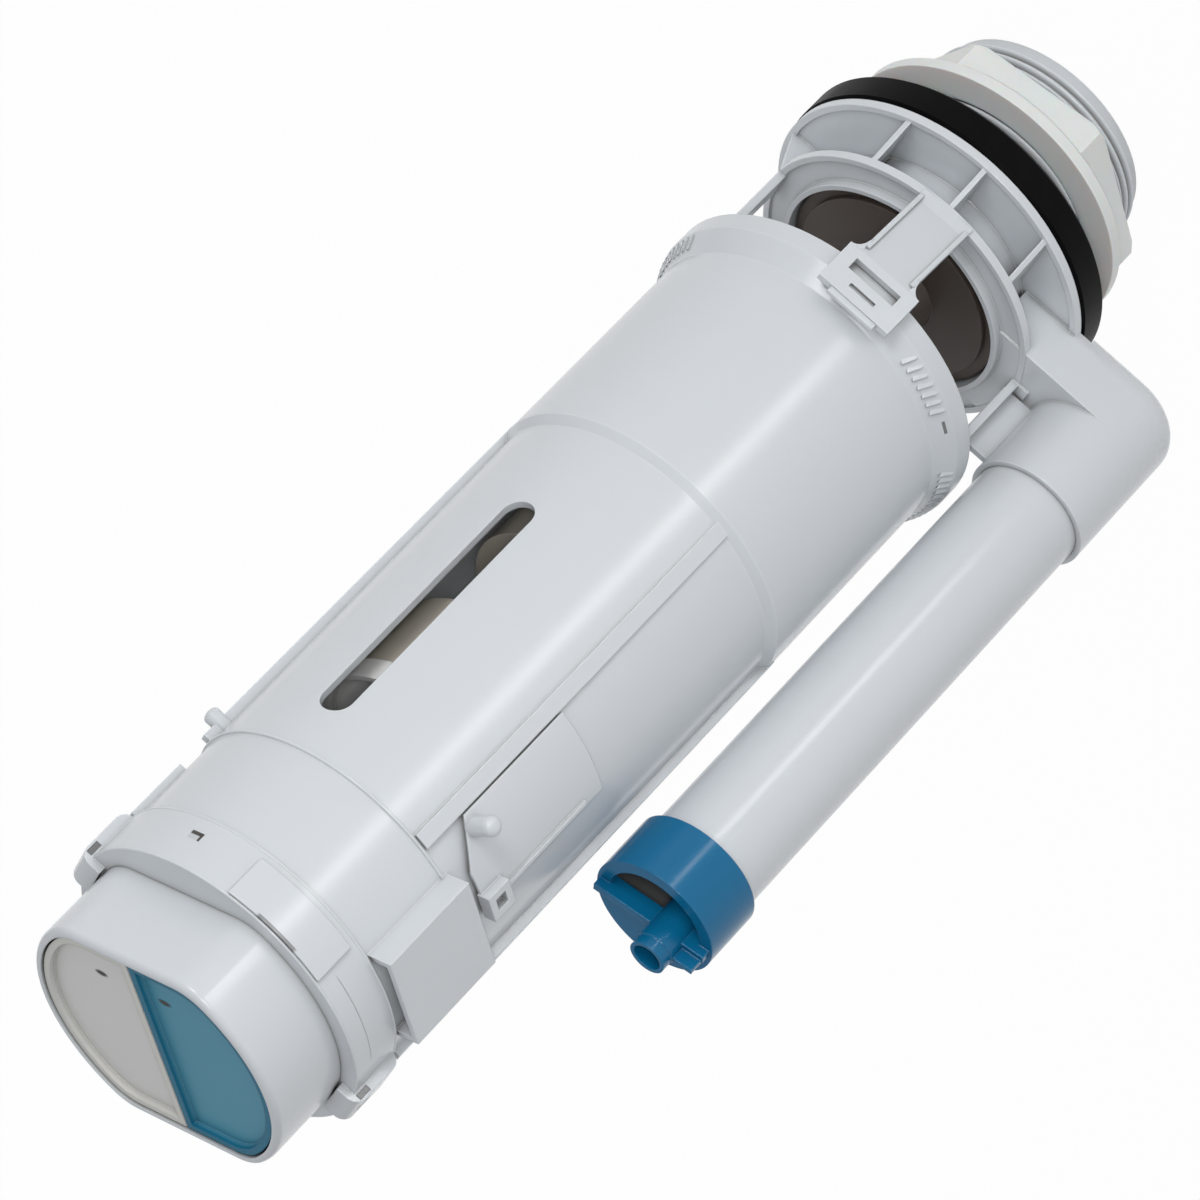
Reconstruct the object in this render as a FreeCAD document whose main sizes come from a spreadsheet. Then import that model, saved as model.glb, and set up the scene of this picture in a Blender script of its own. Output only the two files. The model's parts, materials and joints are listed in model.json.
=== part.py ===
"""Dual-flush valve of a toilet cistern, modelled as its separate mouldings.

The valve stands upright. The origin is on the outlet's axis, in the plane of the cistern
floor, which the rubber gasket's lower face presses on. +Z points up to the push buttons,
-Y to the front with the release clip, and the overflow tube stands on the -X side.
Sizes are millimetres and live in the sheet called Sizes.
"""
import math
import os
import re

import FreeCAD, Part
import Sketcher

doc = FreeCAD.newDocument("FlushValve")

SIZES = {
    # outlet spigot, flange and seat
    "thread_radius": 29.8,
    "spigot_drop": 34.9,
    "outlet_radius": 25.0,
    "spigot_chamfer": 0.8,
    "flange_radius": 43.2,
    "flange_floor": 1.6,
    "rim_height": 2.3,
    "rim_wall": 1.8,
    "neck_radius": 27.6,
    "neck_top": 16.2,
    "funnel_start": 13.2,
    "collar_radius": 38.0,
    "collar_bottom": 22.5,
    "collar_top": 24.8,
    "collar_edge": 1.6,
    "collar_recess": 0.7,
    "collar_root": 32.0,
    "lip_outer": 30.8,
    "lip_inner": 29.4,
    "lip_top": 26.6,
    "web_thickness": 1.3,
    "web_spread": 21.0,
    # legs and bayonet ring that carry the tower
    "leg_inner": 35.8,
    "leg_outer": 37.8,
    "leg_width": 9.0,
    "bayonet_outer": 37.7,
    "bayonet_inner": 34.4,
    "bayonet_top": 61.8,
    "clip_width": 14.6,
    "clip_thickness": 2.2,
    "clip_head_width": 20.6,
    "clip_head_bottom": 52.5,
    "clip_head_top": 64.7,
    "clip_head_outer": 45.4,
    "clip_head_wall": 2.2,
    "clip_slot_width": 13.3,
    "clip_slot_bottom": 54.8,
    "clip_slot_top": 58.3,
    "clip_mark_width": 7.4,
    "clip_mark_bottom": 60.8,
    "clip_mark_top": 61.9,
    # overflow arm, socket, tube and cap
    "overflow_offset": 59.3,
    "arm_top": 24.6,
    "arm_wall": 2.2,
    "arm_bottom": 5.6,
    "gasket_room": 44.0,
    "duct_top": 20.8,
    "socket_radius": 15.5,
    "socket_top": 47.3,
    "socket_round": 7.0,
    "tube_radius": 14.0,
    "tube_wall": 1.5,
    "tube_foot": 28.4,
    "tube_top": 187.9,
    "tube_fit": 0.05,
    "bridge_thickness": 2.0,
    "bridge_bottom": 25.8,
    "bridge_top": 44.1,
    "cap_radius": 16.0,
    "cap_bottom": 174.9,
    "cap_top": 190.6,
    "cap_lip": 1.4,
    "cap_cover": 1.8,
    "cap_wall": 2.2,
    "cap_wall_rise": 2.4,
    "cap_turn": -16.0,
    "nipple_radius": 4.6,
    "nipple_bore": 3.6,
    "nipple_offset": 4.9,
    "nipple_back": 1.0,
    "nipple_bottom": 183.0,
    "nipple_top": 199.7,
    "nipple_root": 4.8,
    "nipple_free": 2.8,
    "gusset_thickness": 1.4,
    # gasket and back nut
    "gasket_radius": 43.5,
    "gasket_height": 9.4,
    "gasket_bore": 30.0,
    "gasket_edge": 1.2,
    "nut_clearance": 0.1,
    "nut_flange_radius": 38.3,
    "nut_flange_height": 4.2,
    "nut_height": 13.8,
    "nut_drop": 10.6,
    "nut_corner_radius": 36.4,
    "nut_turn": 39.6,
    "nut_chamfer": 1.2,
    # tower
    "tower_bottom": 54.2,
    "skirt_radius": 43.1,
    "skirt_edge_top": 59.2,
    "skirt_top": 64.9,
    "lower_radius": 40.0,
    "lower_inner": 38.0,
    "step_bottom": 124.6,
    "step_top": 126.8,
    "upper_radius": 38.3,
    "crown_radius": 37.6,
    "tower_wall": 2.0,
    "ridge_low": 233.2,
    "ridge_size": 1.4,
    "ridge_rise": 0.6,
    "tower_top": 259.7,
    "ledge_reach": 3.0,
    "deck_bottom": 246.0,
    "deck_thickness": 2.0,
    "rail_outer": 40.2,
    "rail_top_outer": 39.4,
    "rail_thickness": 2.4,
    "rib_turn": -19.9,
    "rib_width": 4.0,
    "window_turn": 36.0,
    "window_width": 8.4,
    "window_bottom": 151.0,
    "window_top": 222.0,
    "tooth_pitch": 3.4,
    "tooth_rise": 1.7,
    "peg_radius": 2.1,
    "peg_height": 226.8,
    "peg_reach": 42.2,
    "guide_turn": -53.6,
    "guide_width": 25.0,
    "guide_outer": 42.0,
    "guide_wall": 1.5,
    "guide_bottom": 232.2,
    "guide_top": 259.0,
    # flush-volume slide on the tower's side
    "slide_thickness": 0.9,
    "slide_inner": 38.55,
    "slide_bottom": 187.0,
    "slide_low_edge": 221.5,
    "slide_high_edge": 228.0,
    "slide_start": 23.4,
    "slide_end": 56.0,
    "slide_peg_turn": -28.5,
    "slide_peg_radius": 2.3,
    "slide_peg_length": 7.0,
    "slide_peg_height": 221.2,
    "slide_loop_turn": -53.6,
    "slide_loop_size": 7.0,
    "slide_loop_hole": 3.2,
    "slide_loop_height": 221.5,
    # clamp collar and head
    "clamp_radius": 38.4,
    "clamp_bottom": 259.7,
    "clamp_top": 273.6,
    "clamp_skirt_wall": 1.6,
    "clamp_deck": 3.0,
    "panel_rise": 0.8,
    "lug_inner": 34.5,
    "lug_outer": 40.5,
    "lug_width": 11.4,
    "lug_bottom": 260.2,
    "lug_top": 275.5,
    "lug_hole": 4.0,
    "head_radius": 34.2,
    "head_flat": 28.8,
    "head_wall": 2.0,
    "head_corner": 11.0,
    "lug_round": 3.0,
    "head_foot": 259.7,
    "head_top": 294.5,
    "head_round": 1.6,
    "button_turn": 35.4,
    # buttons, rods and springs
    "button_gap": 0.45,
    "divider_gap": 0.5,
    "button_top": 293.9,
    "button_bottom": 283.2,
    "button_skin": 2.2,
    "tray_depth": 1.6,
    "tray_rim": 1.7,
    "rod_offset": 23.5,
    "rod_radius": 2.4,
    "rod_foot": 239.2,
    "rod_collar_radius": 5.4,
    "rod_collar_bottom": 273.0,
    "rod_collar_height": 2.0,
    "rod_hole": 3.0,
    "spring_radius": 4.1,
    "wire_radius": 0.5,
    "spring_turns": 6,
    # rockers that turn a push into a lift
    "pivot_offset": 16.5,
    "pivot_height": 234.0,
    "half_pivot_drop": 10.0,
    "pin_radius": 1.5,
    "pin_end": 3.0,
    "pivot_clearance": 0.05,
    "rocker_hub": 3.4,
    "rocker_thickness": 2.6,
    "rocker_width": 17.0,
    "rocker_tilt": 18.0,
    "push_arm": 8.6,
    "lift_arm": 14.0,
    "full_fork_slot": 12.0,
    "half_fork_slot": 9.4,
    "fork_slot_length": 11.0,
    # valve that closes the outlet
    "stem_radius": 7.0,
    "stem_foot": 30.0,
    "stem_shoulder": 162.0,
    "stem_cone": 6.0,
    "neck_rod_radius": 3.0,
    "lift_head_bottom": 233.2,
    "lift_head_radius": 8.0,
    "lift_head_thickness": 3.0,
    "seal_radius": 28.7,
    "seal_bottom": 21.6,
    "seal_thickness": 2.4,
    "seal_hole": 8.0,
    "disc_radius": 26.0,
    "retainer_radius": 22.0,
    "retainer_height": 5.0,
    "float_radius": 26.0,
    "float_wall": 1.6,
    "float_bottom": 96.0,
    "float_top": 150.6,
    "half_float_radius": 27.0,
    "half_float_bottom": 174.5,
    "half_float_top": 198.0,
    "float_ring_radius": 29.0,
    "float_ring_height": 5.8,
    "sleeve_clearance": 0.4,
    "sleeve_wall": 0.8,
    "sleeve_foot": 180.0,
    "sleeve_flange_radius": 5.5,
    "sleeve_flange_bottom": 222.4,
    "sleeve_flange_height": 2.0,
}

sheet = doc.addObject("Spreadsheet::Sheet", "Sizes")
for row, (alias, value) in enumerate(SIZES.items(), start=1):
    sheet.set("A%d" % row, alias)
    sheet.set("B%d" % row, str(value))
    sheet.setAlias("B%d" % row, alias)
doc.recompute()

Z_AXIS = FreeCAD.Vector(0, 0, 1)
SIDES = (("full", "-"), ("half", ""))


def size(alias):
    """The value of one sheet cell."""
    return float(sheet.get(alias))


def bind(item, target, formula):
    """Ties a property to a formula written with the sheet's aliases."""
    linked = re.sub(r"[a-z_]{3,}", lambda word: "Sizes." + word.group(0)
                    if word.group(0) in SIZES else word.group(0), formula)
    item.setExpression(target, linked)


def box(name, corner, extent):
    """A block from its lowest corner and its three extents, all formulas."""
    item = doc.addObject("Part::Box", name)
    for axis, formula in zip("xyz", corner):
        bind(item, "Placement.Base." + axis, formula)
    for side, formula in zip(("Length", "Width", "Height"), extent):
        bind(item, side, formula)
    return item


def cylinder(name, radius, bottom, height, centre=("0", "0")):
    """An upright cylinder."""
    item = doc.addObject("Part::Cylinder", name)
    bind(item, "Radius", radius)
    bind(item, "Height", height)
    bind(item, "Placement.Base.x", centre[0])
    bind(item, "Placement.Base.y", centre[1])
    bind(item, "Placement.Base.z", bottom)
    return item


def lying_cylinder(name, radius, start, length, along="y"):
    """A cylinder that lies along X or along Y."""
    item = doc.addObject("Part::Cylinder", name)
    axis = FreeCAD.Vector(0, 1, 0) if along == "x" else FreeCAD.Vector(1, 0, 0)
    angle = 90 if along == "x" else -90
    item.Placement = FreeCAD.Placement(FreeCAD.Vector(), FreeCAD.Rotation(axis, angle))
    bind(item, "Radius", radius)
    bind(item, "Height", length)
    for direction, formula in zip("xyz", start):
        bind(item, "Placement.Base." + direction, formula)
    return item


def fuse(name, parts):
    """Parts joined into one."""
    item = doc.addObject("Part::MultiFuse", name)
    item.Shapes = parts
    item.Refine = True
    return item


def cut(name, base, tool):
    """A base with one tool, or the fused list of tools, taken away."""
    if isinstance(tool, list):
        tool = fuse(name + "_tools", tool) if len(tool) > 1 else tool[0]
    item = doc.addObject("Part::Cut", name)
    item.Base = base
    item.Tool = tool
    item.Refine = True
    return item


def common(name, first, second):
    """What two parts share."""
    item = doc.addObject("Part::MultiCommon", name)
    item.Shapes = [first, second]
    item.Refine = True
    return item


def turned(item, formula):
    """Turns a finished part about the valve's axis."""
    item.Placement = FreeCAD.Placement(FreeCAD.Vector(), FreeCAD.Rotation(Z_AXIS, 1))
    bind(item, "Placement.Rotation.Angle", formula)
    return item


def turned_copy(name, item, formula):
    """A part wrapped so that it can be turned about the valve's axis."""
    wrap = doc.addObject("Part::Compound", name)
    wrap.Links = [item]
    return turned(wrap, formula)


def origin_plane(body, role):
    """One of the body's own origin planes."""
    return next(item for item in body.Origin.OriginFeatures if item.Role == role)


def outline(body, name, plane, corners):
    """A closed sketch whose corners sit at formula distances from the origin."""
    sketch = body.newObject("Sketcher::SketchObject", name)
    sketch.AttachmentSupport = [(origin_plane(body, plane), "")]
    sketch.MapMode = "FlatFace"
    start = [FreeCAD.Vector(10 * math.cos(2 * math.pi * i / len(corners)) + 20,
                            10 * math.sin(2 * math.pi * i / len(corners)) + 20, 0)
             for i in range(len(corners))]
    for i in range(len(corners)):
        sketch.addGeometry(Part.LineSegment(start[i], start[(i + 1) % len(corners)]), False)
    for i in range(len(corners)):
        sketch.addConstraint(Sketcher.Constraint("Coincident", i, 2, (i + 1) % len(corners), 1))
    for i, pair in enumerate(corners):
        for kind, axis, formula in (("DistanceX", -2, pair[0]), ("DistanceY", -1, pair[1])):
            if formula == "0":
                sketch.addConstraint(Sketcher.Constraint("PointOnObject", i, 1, axis))
                continue
            index = sketch.addConstraint(Sketcher.Constraint(kind, -1, 1, i, 1, 20.0))
            bind(sketch, "Constraints[%d]" % index, formula)
    return sketch


def turning(name, corners):
    """A body turned about the valve's axis from an outline of radius and height."""
    body = doc.addObject("PartDesign::Body", name)
    sketch = outline(body, name + "_outline", "XZ_Plane", corners)
    feature = body.newObject("PartDesign::Revolution", name + "_turning")
    feature.Profile = sketch
    feature.ReferenceAxis = (sketch, ["V_Axis"])
    feature.Angle = 360
    body.Tip = feature
    return body


def sector(name, inner, outer, bottom, top, first, last):
    """A piece of a tube wall between two angles, measured from the front towards +X."""
    ring = Part.makeCylinder(outer, top - bottom, FreeCAD.Vector(0, 0, bottom), Z_AXIS,
                             last - first)
    hole = Part.makeCylinder(inner, top - bottom, FreeCAD.Vector(0, 0, bottom))
    item = doc.addObject("Part::Feature", name)
    item.Shape = ring.cut(hole)
    item.Placement = FreeCAD.Placement(FreeCAD.Vector(), FreeCAD.Rotation(Z_AXIS, first - 90))
    return item


def round_edges(name, base, radius, wanted):
    """Rounds the edges of a part that pass a test on the edge."""
    doc.recompute()
    item = doc.addObject("Part::Fillet", name)
    item.Base = base
    value = size(radius)
    item.Edges = [(i + 1, value, value) for i, edge in enumerate(base.Shape.Edges)
                  if wanted(edge)]
    return item


def base_shell():
    """Threaded spigot, dished flange, neck, funnel, collar and seat lip in one turning."""
    return turning("base_turning", [
        ("outlet_radius", "-spigot_drop"),
        ("thread_radius - spigot_chamfer", "-spigot_drop"),
        ("thread_radius", "spigot_chamfer - spigot_drop"),
        ("thread_radius", "gasket_height"),
        ("flange_radius", "gasket_height"),
        ("flange_radius", "gasket_height + rim_height"),
        ("flange_radius - rim_wall", "gasket_height + rim_height"),
        ("flange_radius - rim_wall", "gasket_height + flange_floor"),
        ("neck_radius", "gasket_height + flange_floor"),
        ("neck_radius", "neck_top"),
        ("collar_root", "collar_bottom"),
        ("collar_radius", "collar_bottom"),
        ("collar_radius", "collar_top"),
        ("collar_radius - collar_edge", "collar_top"),
        ("collar_radius - collar_edge", "collar_top - collar_recess"),
        ("lip_outer", "collar_top - collar_recess"),
        ("lip_outer", "lip_top"),
        ("lip_inner", "lip_top"),
        ("lip_inner", "collar_bottom"),
        ("outlet_radius", "funnel_start"),
    ])


def support_webs():
    """Upright webs that carry the collar on the dished flange, all parallel but two."""
    floor = "gasket_height + 0.5 * flange_floor"
    under = "collar_bottom + 0.5"
    room = turning("web_room", [
        ("neck_radius - 1", floor),
        ("flange_radius - 0.5 * rim_wall", floor),
        ("flange_radius - 0.5 * rim_wall", "gasket_height + rim_height"),
        ("collar_radius - 0.4", under),
        ("collar_root - 1", under),
        ("neck_radius - 1", "neck_top"),
    ])
    height = "collar_bottom + 1 - gasket_height"
    plates = [box("web_%d" % i, ("%s - web_thickness / 2" % place, "-flange_radius",
                                 "gasket_height"),
                  ("web_thickness", "2 * flange_radius", height))
              for i, place in enumerate(("-web_spread", "0", "web_spread"))]
    plates.append(box("web_side", ("0", "-web_thickness / 2", "gasket_height"),
                      ("flange_radius", "web_thickness", height)))
    return common("support_webs", room, fuse("web_plates", plates))


def tower_legs():
    """Three legs and the hidden bayonet ring that the tower's skirt sits over."""
    legs = []
    for turn in (0, 90, 180):
        leg = box("leg_%d_block" % turn,
                  ("leg_inner", "-leg_width / 2", "collar_top - collar_edge"),
                  ("leg_outer - leg_inner", "leg_width",
                   "tower_bottom - collar_top + collar_edge - 0.05"))
        legs.append(turned_copy("leg_%d" % turn, leg, str(turn)))
        root = box("leg_%d_root_block" % turn,
                   ("leg_inner", "-leg_width / 2", "tower_bottom - 2"),
                   ("bayonet_outer - leg_inner - 0.4", "leg_width", "bayonet_top - tower_bottom"))
        legs.append(turned_copy("leg_%d_root" % turn, root, str(turn)))
    ring = cut("bayonet_ring",
               cylinder("bayonet_outside", "bayonet_outer", "tower_bottom",
                        "bayonet_top - tower_bottom"),
               cylinder("bayonet_inside", "bayonet_inner", "tower_bottom - 1",
                        "bayonet_top - tower_bottom + 2"))
    return legs + [ring]


def release_clip():
    """The springy arm at the front and its slotted head, which latches over the skirt."""
    body = doc.addObject("PartDesign::Body", "clip_arm")
    sketch = outline(body, "clip_arm_outline", "YZ_Plane", [
        ("-collar_radius", "collar_bottom + collar_edge / 2"),
        ("-collar_radius + clip_thickness", "collar_bottom + collar_edge / 2"),
        ("-collar_radius + clip_thickness", "collar_top"),
        ("clip_head_wall - clip_head_outer", "clip_head_bottom"),
        ("clip_head_wall - clip_head_outer", "clip_head_bottom + 2"),
        ("-clip_head_outer", "clip_head_bottom + 2"),
        ("-clip_head_outer", "clip_head_bottom"),
        ("-collar_radius", "collar_top + 2"),
    ])
    pad = body.newObject("PartDesign::Pad", "clip_arm_pad")
    pad.Profile = sketch
    pad.Midplane = True
    bind(pad, "Length", "clip_width")
    body.Tip = pad
    head = box("clip_head_block", ("-clip_head_width / 2", "-clip_head_outer", "clip_head_bottom"),
               ("clip_head_width", "clip_head_wall - 0.1", "clip_head_top - clip_head_bottom"))
    slot = box("clip_slot", ("-clip_slot_width / 2", "-clip_head_outer - 1", "clip_slot_bottom"),
               ("clip_slot_width", "clip_head_wall + 2", "clip_slot_top - clip_slot_bottom"))
    mark = box("clip_mark", ("-clip_mark_width / 2", "-clip_head_outer - 1", "clip_mark_bottom"),
               ("clip_mark_width", "clip_head_wall", "clip_mark_top - clip_mark_bottom"))
    return [body, cut("clip_head", head, [slot, mark])]


def overflow_arm():
    """The hollow arm that leads from the outlet neck out to the upright socket."""
    arm = box("arm_block", ("-overflow_offset", "-socket_radius", "arm_bottom"),
              ("overflow_offset - neck_radius + 3", "2 * socket_radius",
               "arm_top - arm_bottom"))
    socket = cylinder("socket_block", "socket_radius", "arm_bottom",
                      "socket_top - arm_bottom", ("-overflow_offset", "0"))
    bottom = size("arm_bottom")
    outside = fuse("arm_outside", [arm, socket])
    rounded = round_edges("arm_rounded", outside, "socket_round",
                          lambda edge: abs(edge.BoundBox.ZMax - bottom) < 0.01
                          and edge.BoundBox.XMin < -size("overflow_offset") + 1)
    gasket_space = box("gasket_space", ("-gasket_room", "-socket_radius - 1", "arm_bottom - 1"),
                       ("gasket_room", "2 * socket_radius + 2",
                        "gasket_height - arm_bottom + 1"))
    return cut("arm_over_gasket", rounded, gasket_space)


def overflow_duct():
    """The water way inside the arm and the socket's bore for the tube."""
    duct = box("duct_space", ("-overflow_offset", "arm_wall - socket_radius",
                              "gasket_height + flange_floor"),
               ("overflow_offset - outlet_radius + 6", "2 * (socket_radius - arm_wall)",
                "duct_top - gasket_height - flange_floor"))
    sump = cylinder("sump_space", "socket_radius - arm_wall", "gasket_height + arm_wall",
                    "tube_foot - gasket_height", ("-overflow_offset", "0"))
    bore = cylinder("tube_space", "tube_radius + tube_fit", "tube_foot",
                    "socket_top - tube_foot + 1", ("-overflow_offset", "0"))
    return [duct, sump, bore]


def make_base_housing():
    """The lower moulding that is clamped to the cistern."""
    bridge = box("bridge", ("socket_radius - 0.6 - overflow_offset", "-bridge_thickness / 2",
                            "bridge_bottom"),
                 ("overflow_offset - socket_radius + 1 - leg_inner", "bridge_thickness",
                  "bridge_top - bridge_bottom"))
    foot = box("bridge_foot", ("-leg_outer - 3", "-leg_width / 2", "collar_bottom"),
               ("4.5", "leg_width", "arm_top - collar_bottom + 0.6"))
    solid = fuse("base_solid", [base_shell(), support_webs(), overflow_arm(), bridge, foot]
                 + tower_legs() + release_clip())
    bore = cylinder("bore_space", "outlet_radius", "-spigot_drop", "spigot_drop + funnel_start")
    funnel = doc.addObject("Part::Cone", "funnel_space")
    bind(funnel, "Radius1", "outlet_radius")
    bind(funnel, "Radius2", "lip_inner")
    bind(funnel, "Height", "collar_bottom - funnel_start")
    bind(funnel, "Placement.Base.z", "funnel_start")
    lip = cylinder("lip_space", "lip_inner", "collar_bottom", "lip_top - collar_bottom + 4")
    space = fuse("base_space", [bore, funnel, lip] + overflow_duct())
    return cut("base_housing", solid, space)


def make_sealing_gasket():
    """The thick rubber ring under the flange."""
    return turning("sealing_gasket", [
        ("gasket_bore", "0"),
        ("gasket_radius - gasket_edge", "0"),
        ("gasket_radius", "gasket_edge"),
        ("gasket_radius", "gasket_height - gasket_edge"),
        ("gasket_radius - gasket_edge", "gasket_height"),
        ("gasket_bore", "gasket_height"),
    ])


def make_back_nut():
    """The hexagon nut with a round washer face that clamps the cistern floor."""
    hexagon = doc.addObject("Part::Prism", "nut_hexagon")
    hexagon.Polygon = 6
    bind(hexagon, "Circumradius", "nut_corner_radius")
    bind(hexagon, "Height", "nut_height - nut_flange_height / 2")
    hexagon.Placement = FreeCAD.Placement(FreeCAD.Vector(), FreeCAD.Rotation(Z_AXIS, 1))
    bind(hexagon, "Placement.Rotation.Angle", "nut_turn - 90")
    bind(hexagon, "Placement.Base.z", "-nut_height")
    taper = turning("nut_taper", [
        ("thread_radius - 3", "-nut_height"),
        ("nut_corner_radius - nut_chamfer", "-nut_height"),
        ("nut_corner_radius + 1", "nut_chamfer * 2 - nut_height"),
        ("nut_corner_radius + 1", "-nut_flange_height / 2"),
        ("thread_radius - 3", "-nut_flange_height / 2"),
    ])
    flange = turning("nut_flange", [
        ("thread_radius - 3", "-nut_flange_height"),
        ("nut_flange_radius - 1.2", "-nut_flange_height"),
        ("nut_flange_radius", "-nut_flange_height + 1.2"),
        ("nut_flange_radius", "-0.05"),
        ("thread_radius - 3", "-0.05"),
    ])
    solid = fuse("nut_solid", [common("nut_hex_tapered", hexagon, taper), flange])
    bore = cylinder("nut_bore", "thread_radius + nut_clearance", "-nut_height - 1",
                    "nut_height + 2")
    nut = cut("back_nut", solid, bore)
    bind(nut, "Placement.Base.z", "-nut_drop")
    return nut


def make_overflow_tube():
    """The straight pipe that keeps the cistern from running over."""
    outside = cylinder("tube_outside", "tube_radius", "tube_foot", "tube_top - tube_foot",
                       ("-overflow_offset", "0"))
    inside = cylinder("tube_inside", "tube_radius - tube_wall", "tube_foot - 1",
                      "tube_top - tube_foot + 2", ("-overflow_offset", "0"))
    return cut("overflow_tube", outside, inside)


def make_overflow_cap():
    """The blue cap: ring, half cover, upstanding wall and the refill hose's nipple."""
    ring = cylinder("cap_ring", "cap_radius", "cap_bottom", "cap_top - cap_bottom")
    seat = cylinder("cap_seat", "tube_radius + tube_fit", "cap_bottom - 1",
                    "tube_top - cap_bottom + 1")
    mouth = cylinder("cap_mouth", "tube_radius - cap_lip", "tube_top - 1",
                     "cap_top - tube_top + 2")
    cover_disc = cylinder("cap_cover_disc", "tube_radius", "cap_top - cap_cover", "cap_cover")
    back = box("cap_back_half", ("-cap_radius", "0", "cap_bottom"),
               ("2 * cap_radius", "cap_radius", "cap_top - cap_bottom + 1"))
    cover = common("cap_cover_half", cover_disc, back)
    wall = box("cap_wall_block", ("0.8 - cap_radius", "-cap_wall / 2", "tube_top + 0.2"),
               ("2 * cap_radius - 1.6", "cap_wall", "cap_top + cap_wall_rise - tube_top - 0.2"))
    stem = cylinder("nipple_stem", "nipple_root", "nipple_bottom",
                    "nipple_top - nipple_free - nipple_bottom", ("-nipple_offset", "nipple_back"))
    tip = cylinder("nipple_tip", "nipple_radius", "nipple_top - nipple_free - 1",
                   "nipple_free + 1", ("-nipple_offset", "nipple_back"))
    gusset = box("nipple_gusset", ("1.2 - cap_radius", "nipple_back - gusset_thickness / 2",
                                   "tube_top + 0.2"),
                 ("cap_radius - nipple_offset - 1.2", "gusset_thickness",
                  "nipple_top - nipple_free - tube_top - 0.6"))
    bore = cylinder("nipple_inside", "nipple_bore", "nipple_bottom - 1",
                    "nipple_top - nipple_bottom + 2", ("-nipple_offset", "nipple_back"))
    shell = cut("cap_shell", ring, [seat, mouth])
    solid = fuse("cap_solid", [shell, cover, wall, stem, tip, gusset])
    cap = cut("overflow_cap", solid, bore)
    cap.Placement = FreeCAD.Placement(FreeCAD.Vector(), FreeCAD.Rotation(Z_AXIS, 1))
    bind(cap, "Placement.Rotation.Angle", "-cap_turn")
    bind(cap, "Placement.Base.x", "-overflow_offset")
    return cap


def tower_turning():
    """The tower's wall: toothed skirt, straight lower drum, tapered upper drum and ridge."""
    return turning("tower_turning", [
        ("lower_inner", "tower_bottom"),
        ("skirt_radius", "tower_bottom"),
        ("skirt_radius", "skirt_edge_top"),
        ("lower_radius", "skirt_top"),
        ("lower_radius", "step_bottom"),
        ("upper_radius", "step_top"),
        ("crown_radius", "ridge_low"),
        ("crown_radius + ridge_rise", "ridge_low + ridge_size / 2"),
        ("crown_radius", "ridge_low + ridge_size"),
        ("crown_radius - 0.2", "tower_top"),
        ("head_radius - ledge_reach", "tower_top"),
        ("head_radius - ledge_reach", "tower_top - tower_wall"),
        ("crown_radius - tower_wall", "tower_top - tower_wall"),
        ("crown_radius - tower_wall", "ridge_low"),
        ("upper_radius - tower_wall", "step_top"),
        ("lower_inner", "step_bottom - 2"),
    ])


def skirt_teeth():
    """Saw teeth on the skirt's sloping shoulder, in four runs."""
    low = size("skirt_edge_top") - 0.3
    high = 0.5 * (size("skirt_edge_top") + size("skirt_top"))
    outside = size("skirt_radius") - 0.3
    inside = 0.5 * (size("lower_radius") + size("skirt_radius")) - 0.3
    rise = size("tooth_rise")
    lean = 0.45 * size("tooth_pitch")

    def point(radius, height, turn):
        angle = math.radians(turn)
        return FreeCAD.Vector(radius * math.sin(angle), -radius * math.cos(angle), height)

    def tooth(turn):
        """One wedge: a steep face, a long slope, leaning along the shoulder."""
        outer = [point(outside, low - 1, turn), point(outside, low + rise, turn),
                 point(outside, low - 1, turn + 0.8 * size("tooth_pitch"))]
        inner = [point(inside, high - 1, turn + lean), point(inside, high + rise, turn + lean),
                 point(inside, high - 1, turn + lean + 0.8 * size("tooth_pitch"))]
        faces = [Part.Face(Part.makePolygon(outer + outer[:1])),
                 Part.Face(Part.makePolygon(inner + inner[:1]))]
        for i in range(3):
            after = (i + 1) % 3
            for trio in ((outer[i], outer[after], inner[i]), (outer[after], inner[after], inner[i])):
                faces.append(Part.Face(Part.makePolygon(list(trio) + [trio[0]])))
        return Part.makeSolid(Part.makeShell(faces))

    turns = []
    for first, last in ((-46, -21), (-125, -68), (140, 167), (70, 125)):
        turns += [first + i * size("tooth_pitch")
                  for i in range(int((last - first) / size("tooth_pitch")))]
    item = doc.addObject("Part::Feature", "skirt_teeth")
    solids = [tooth(turn) for turn in turns]
    item.Shape = Part.makeCompound([solid if solid.Volume > 0 else solid.reversed()
                                    for solid in solids])
    return item


def window_space(name, turn):
    """A tall opening with round ends, cut through one side of the upper drum."""
    half = "window_width / 2"
    middle = box(name + "_middle", ("-" + half, "-upper_radius - 2", "window_bottom + " + half),
                 ("window_width", "upper_radius - 20", "window_top - window_bottom - window_width"))
    ends = [lying_cylinder(name + "_end_%d" % i, half, ("0", "-upper_radius - 2", height),
                           "upper_radius - 20")
            for i, height in enumerate(("window_bottom + " + half, "window_top - " + half))]
    return turned(fuse(name, [middle] + ends), turn)


def lying_rib(name, turn, inner, outer, width, bottom, top):
    """An upright rib standing out of the front, turned to its place."""
    block = box(name + "_block", ("-(%s) / 2" % width, "-(%s)" % outer, bottom),
                (width, "(%s) - (%s)" % (outer, inner), "(%s) - (%s)" % (top, bottom)))
    return turned_copy(name, block, turn)


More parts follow.
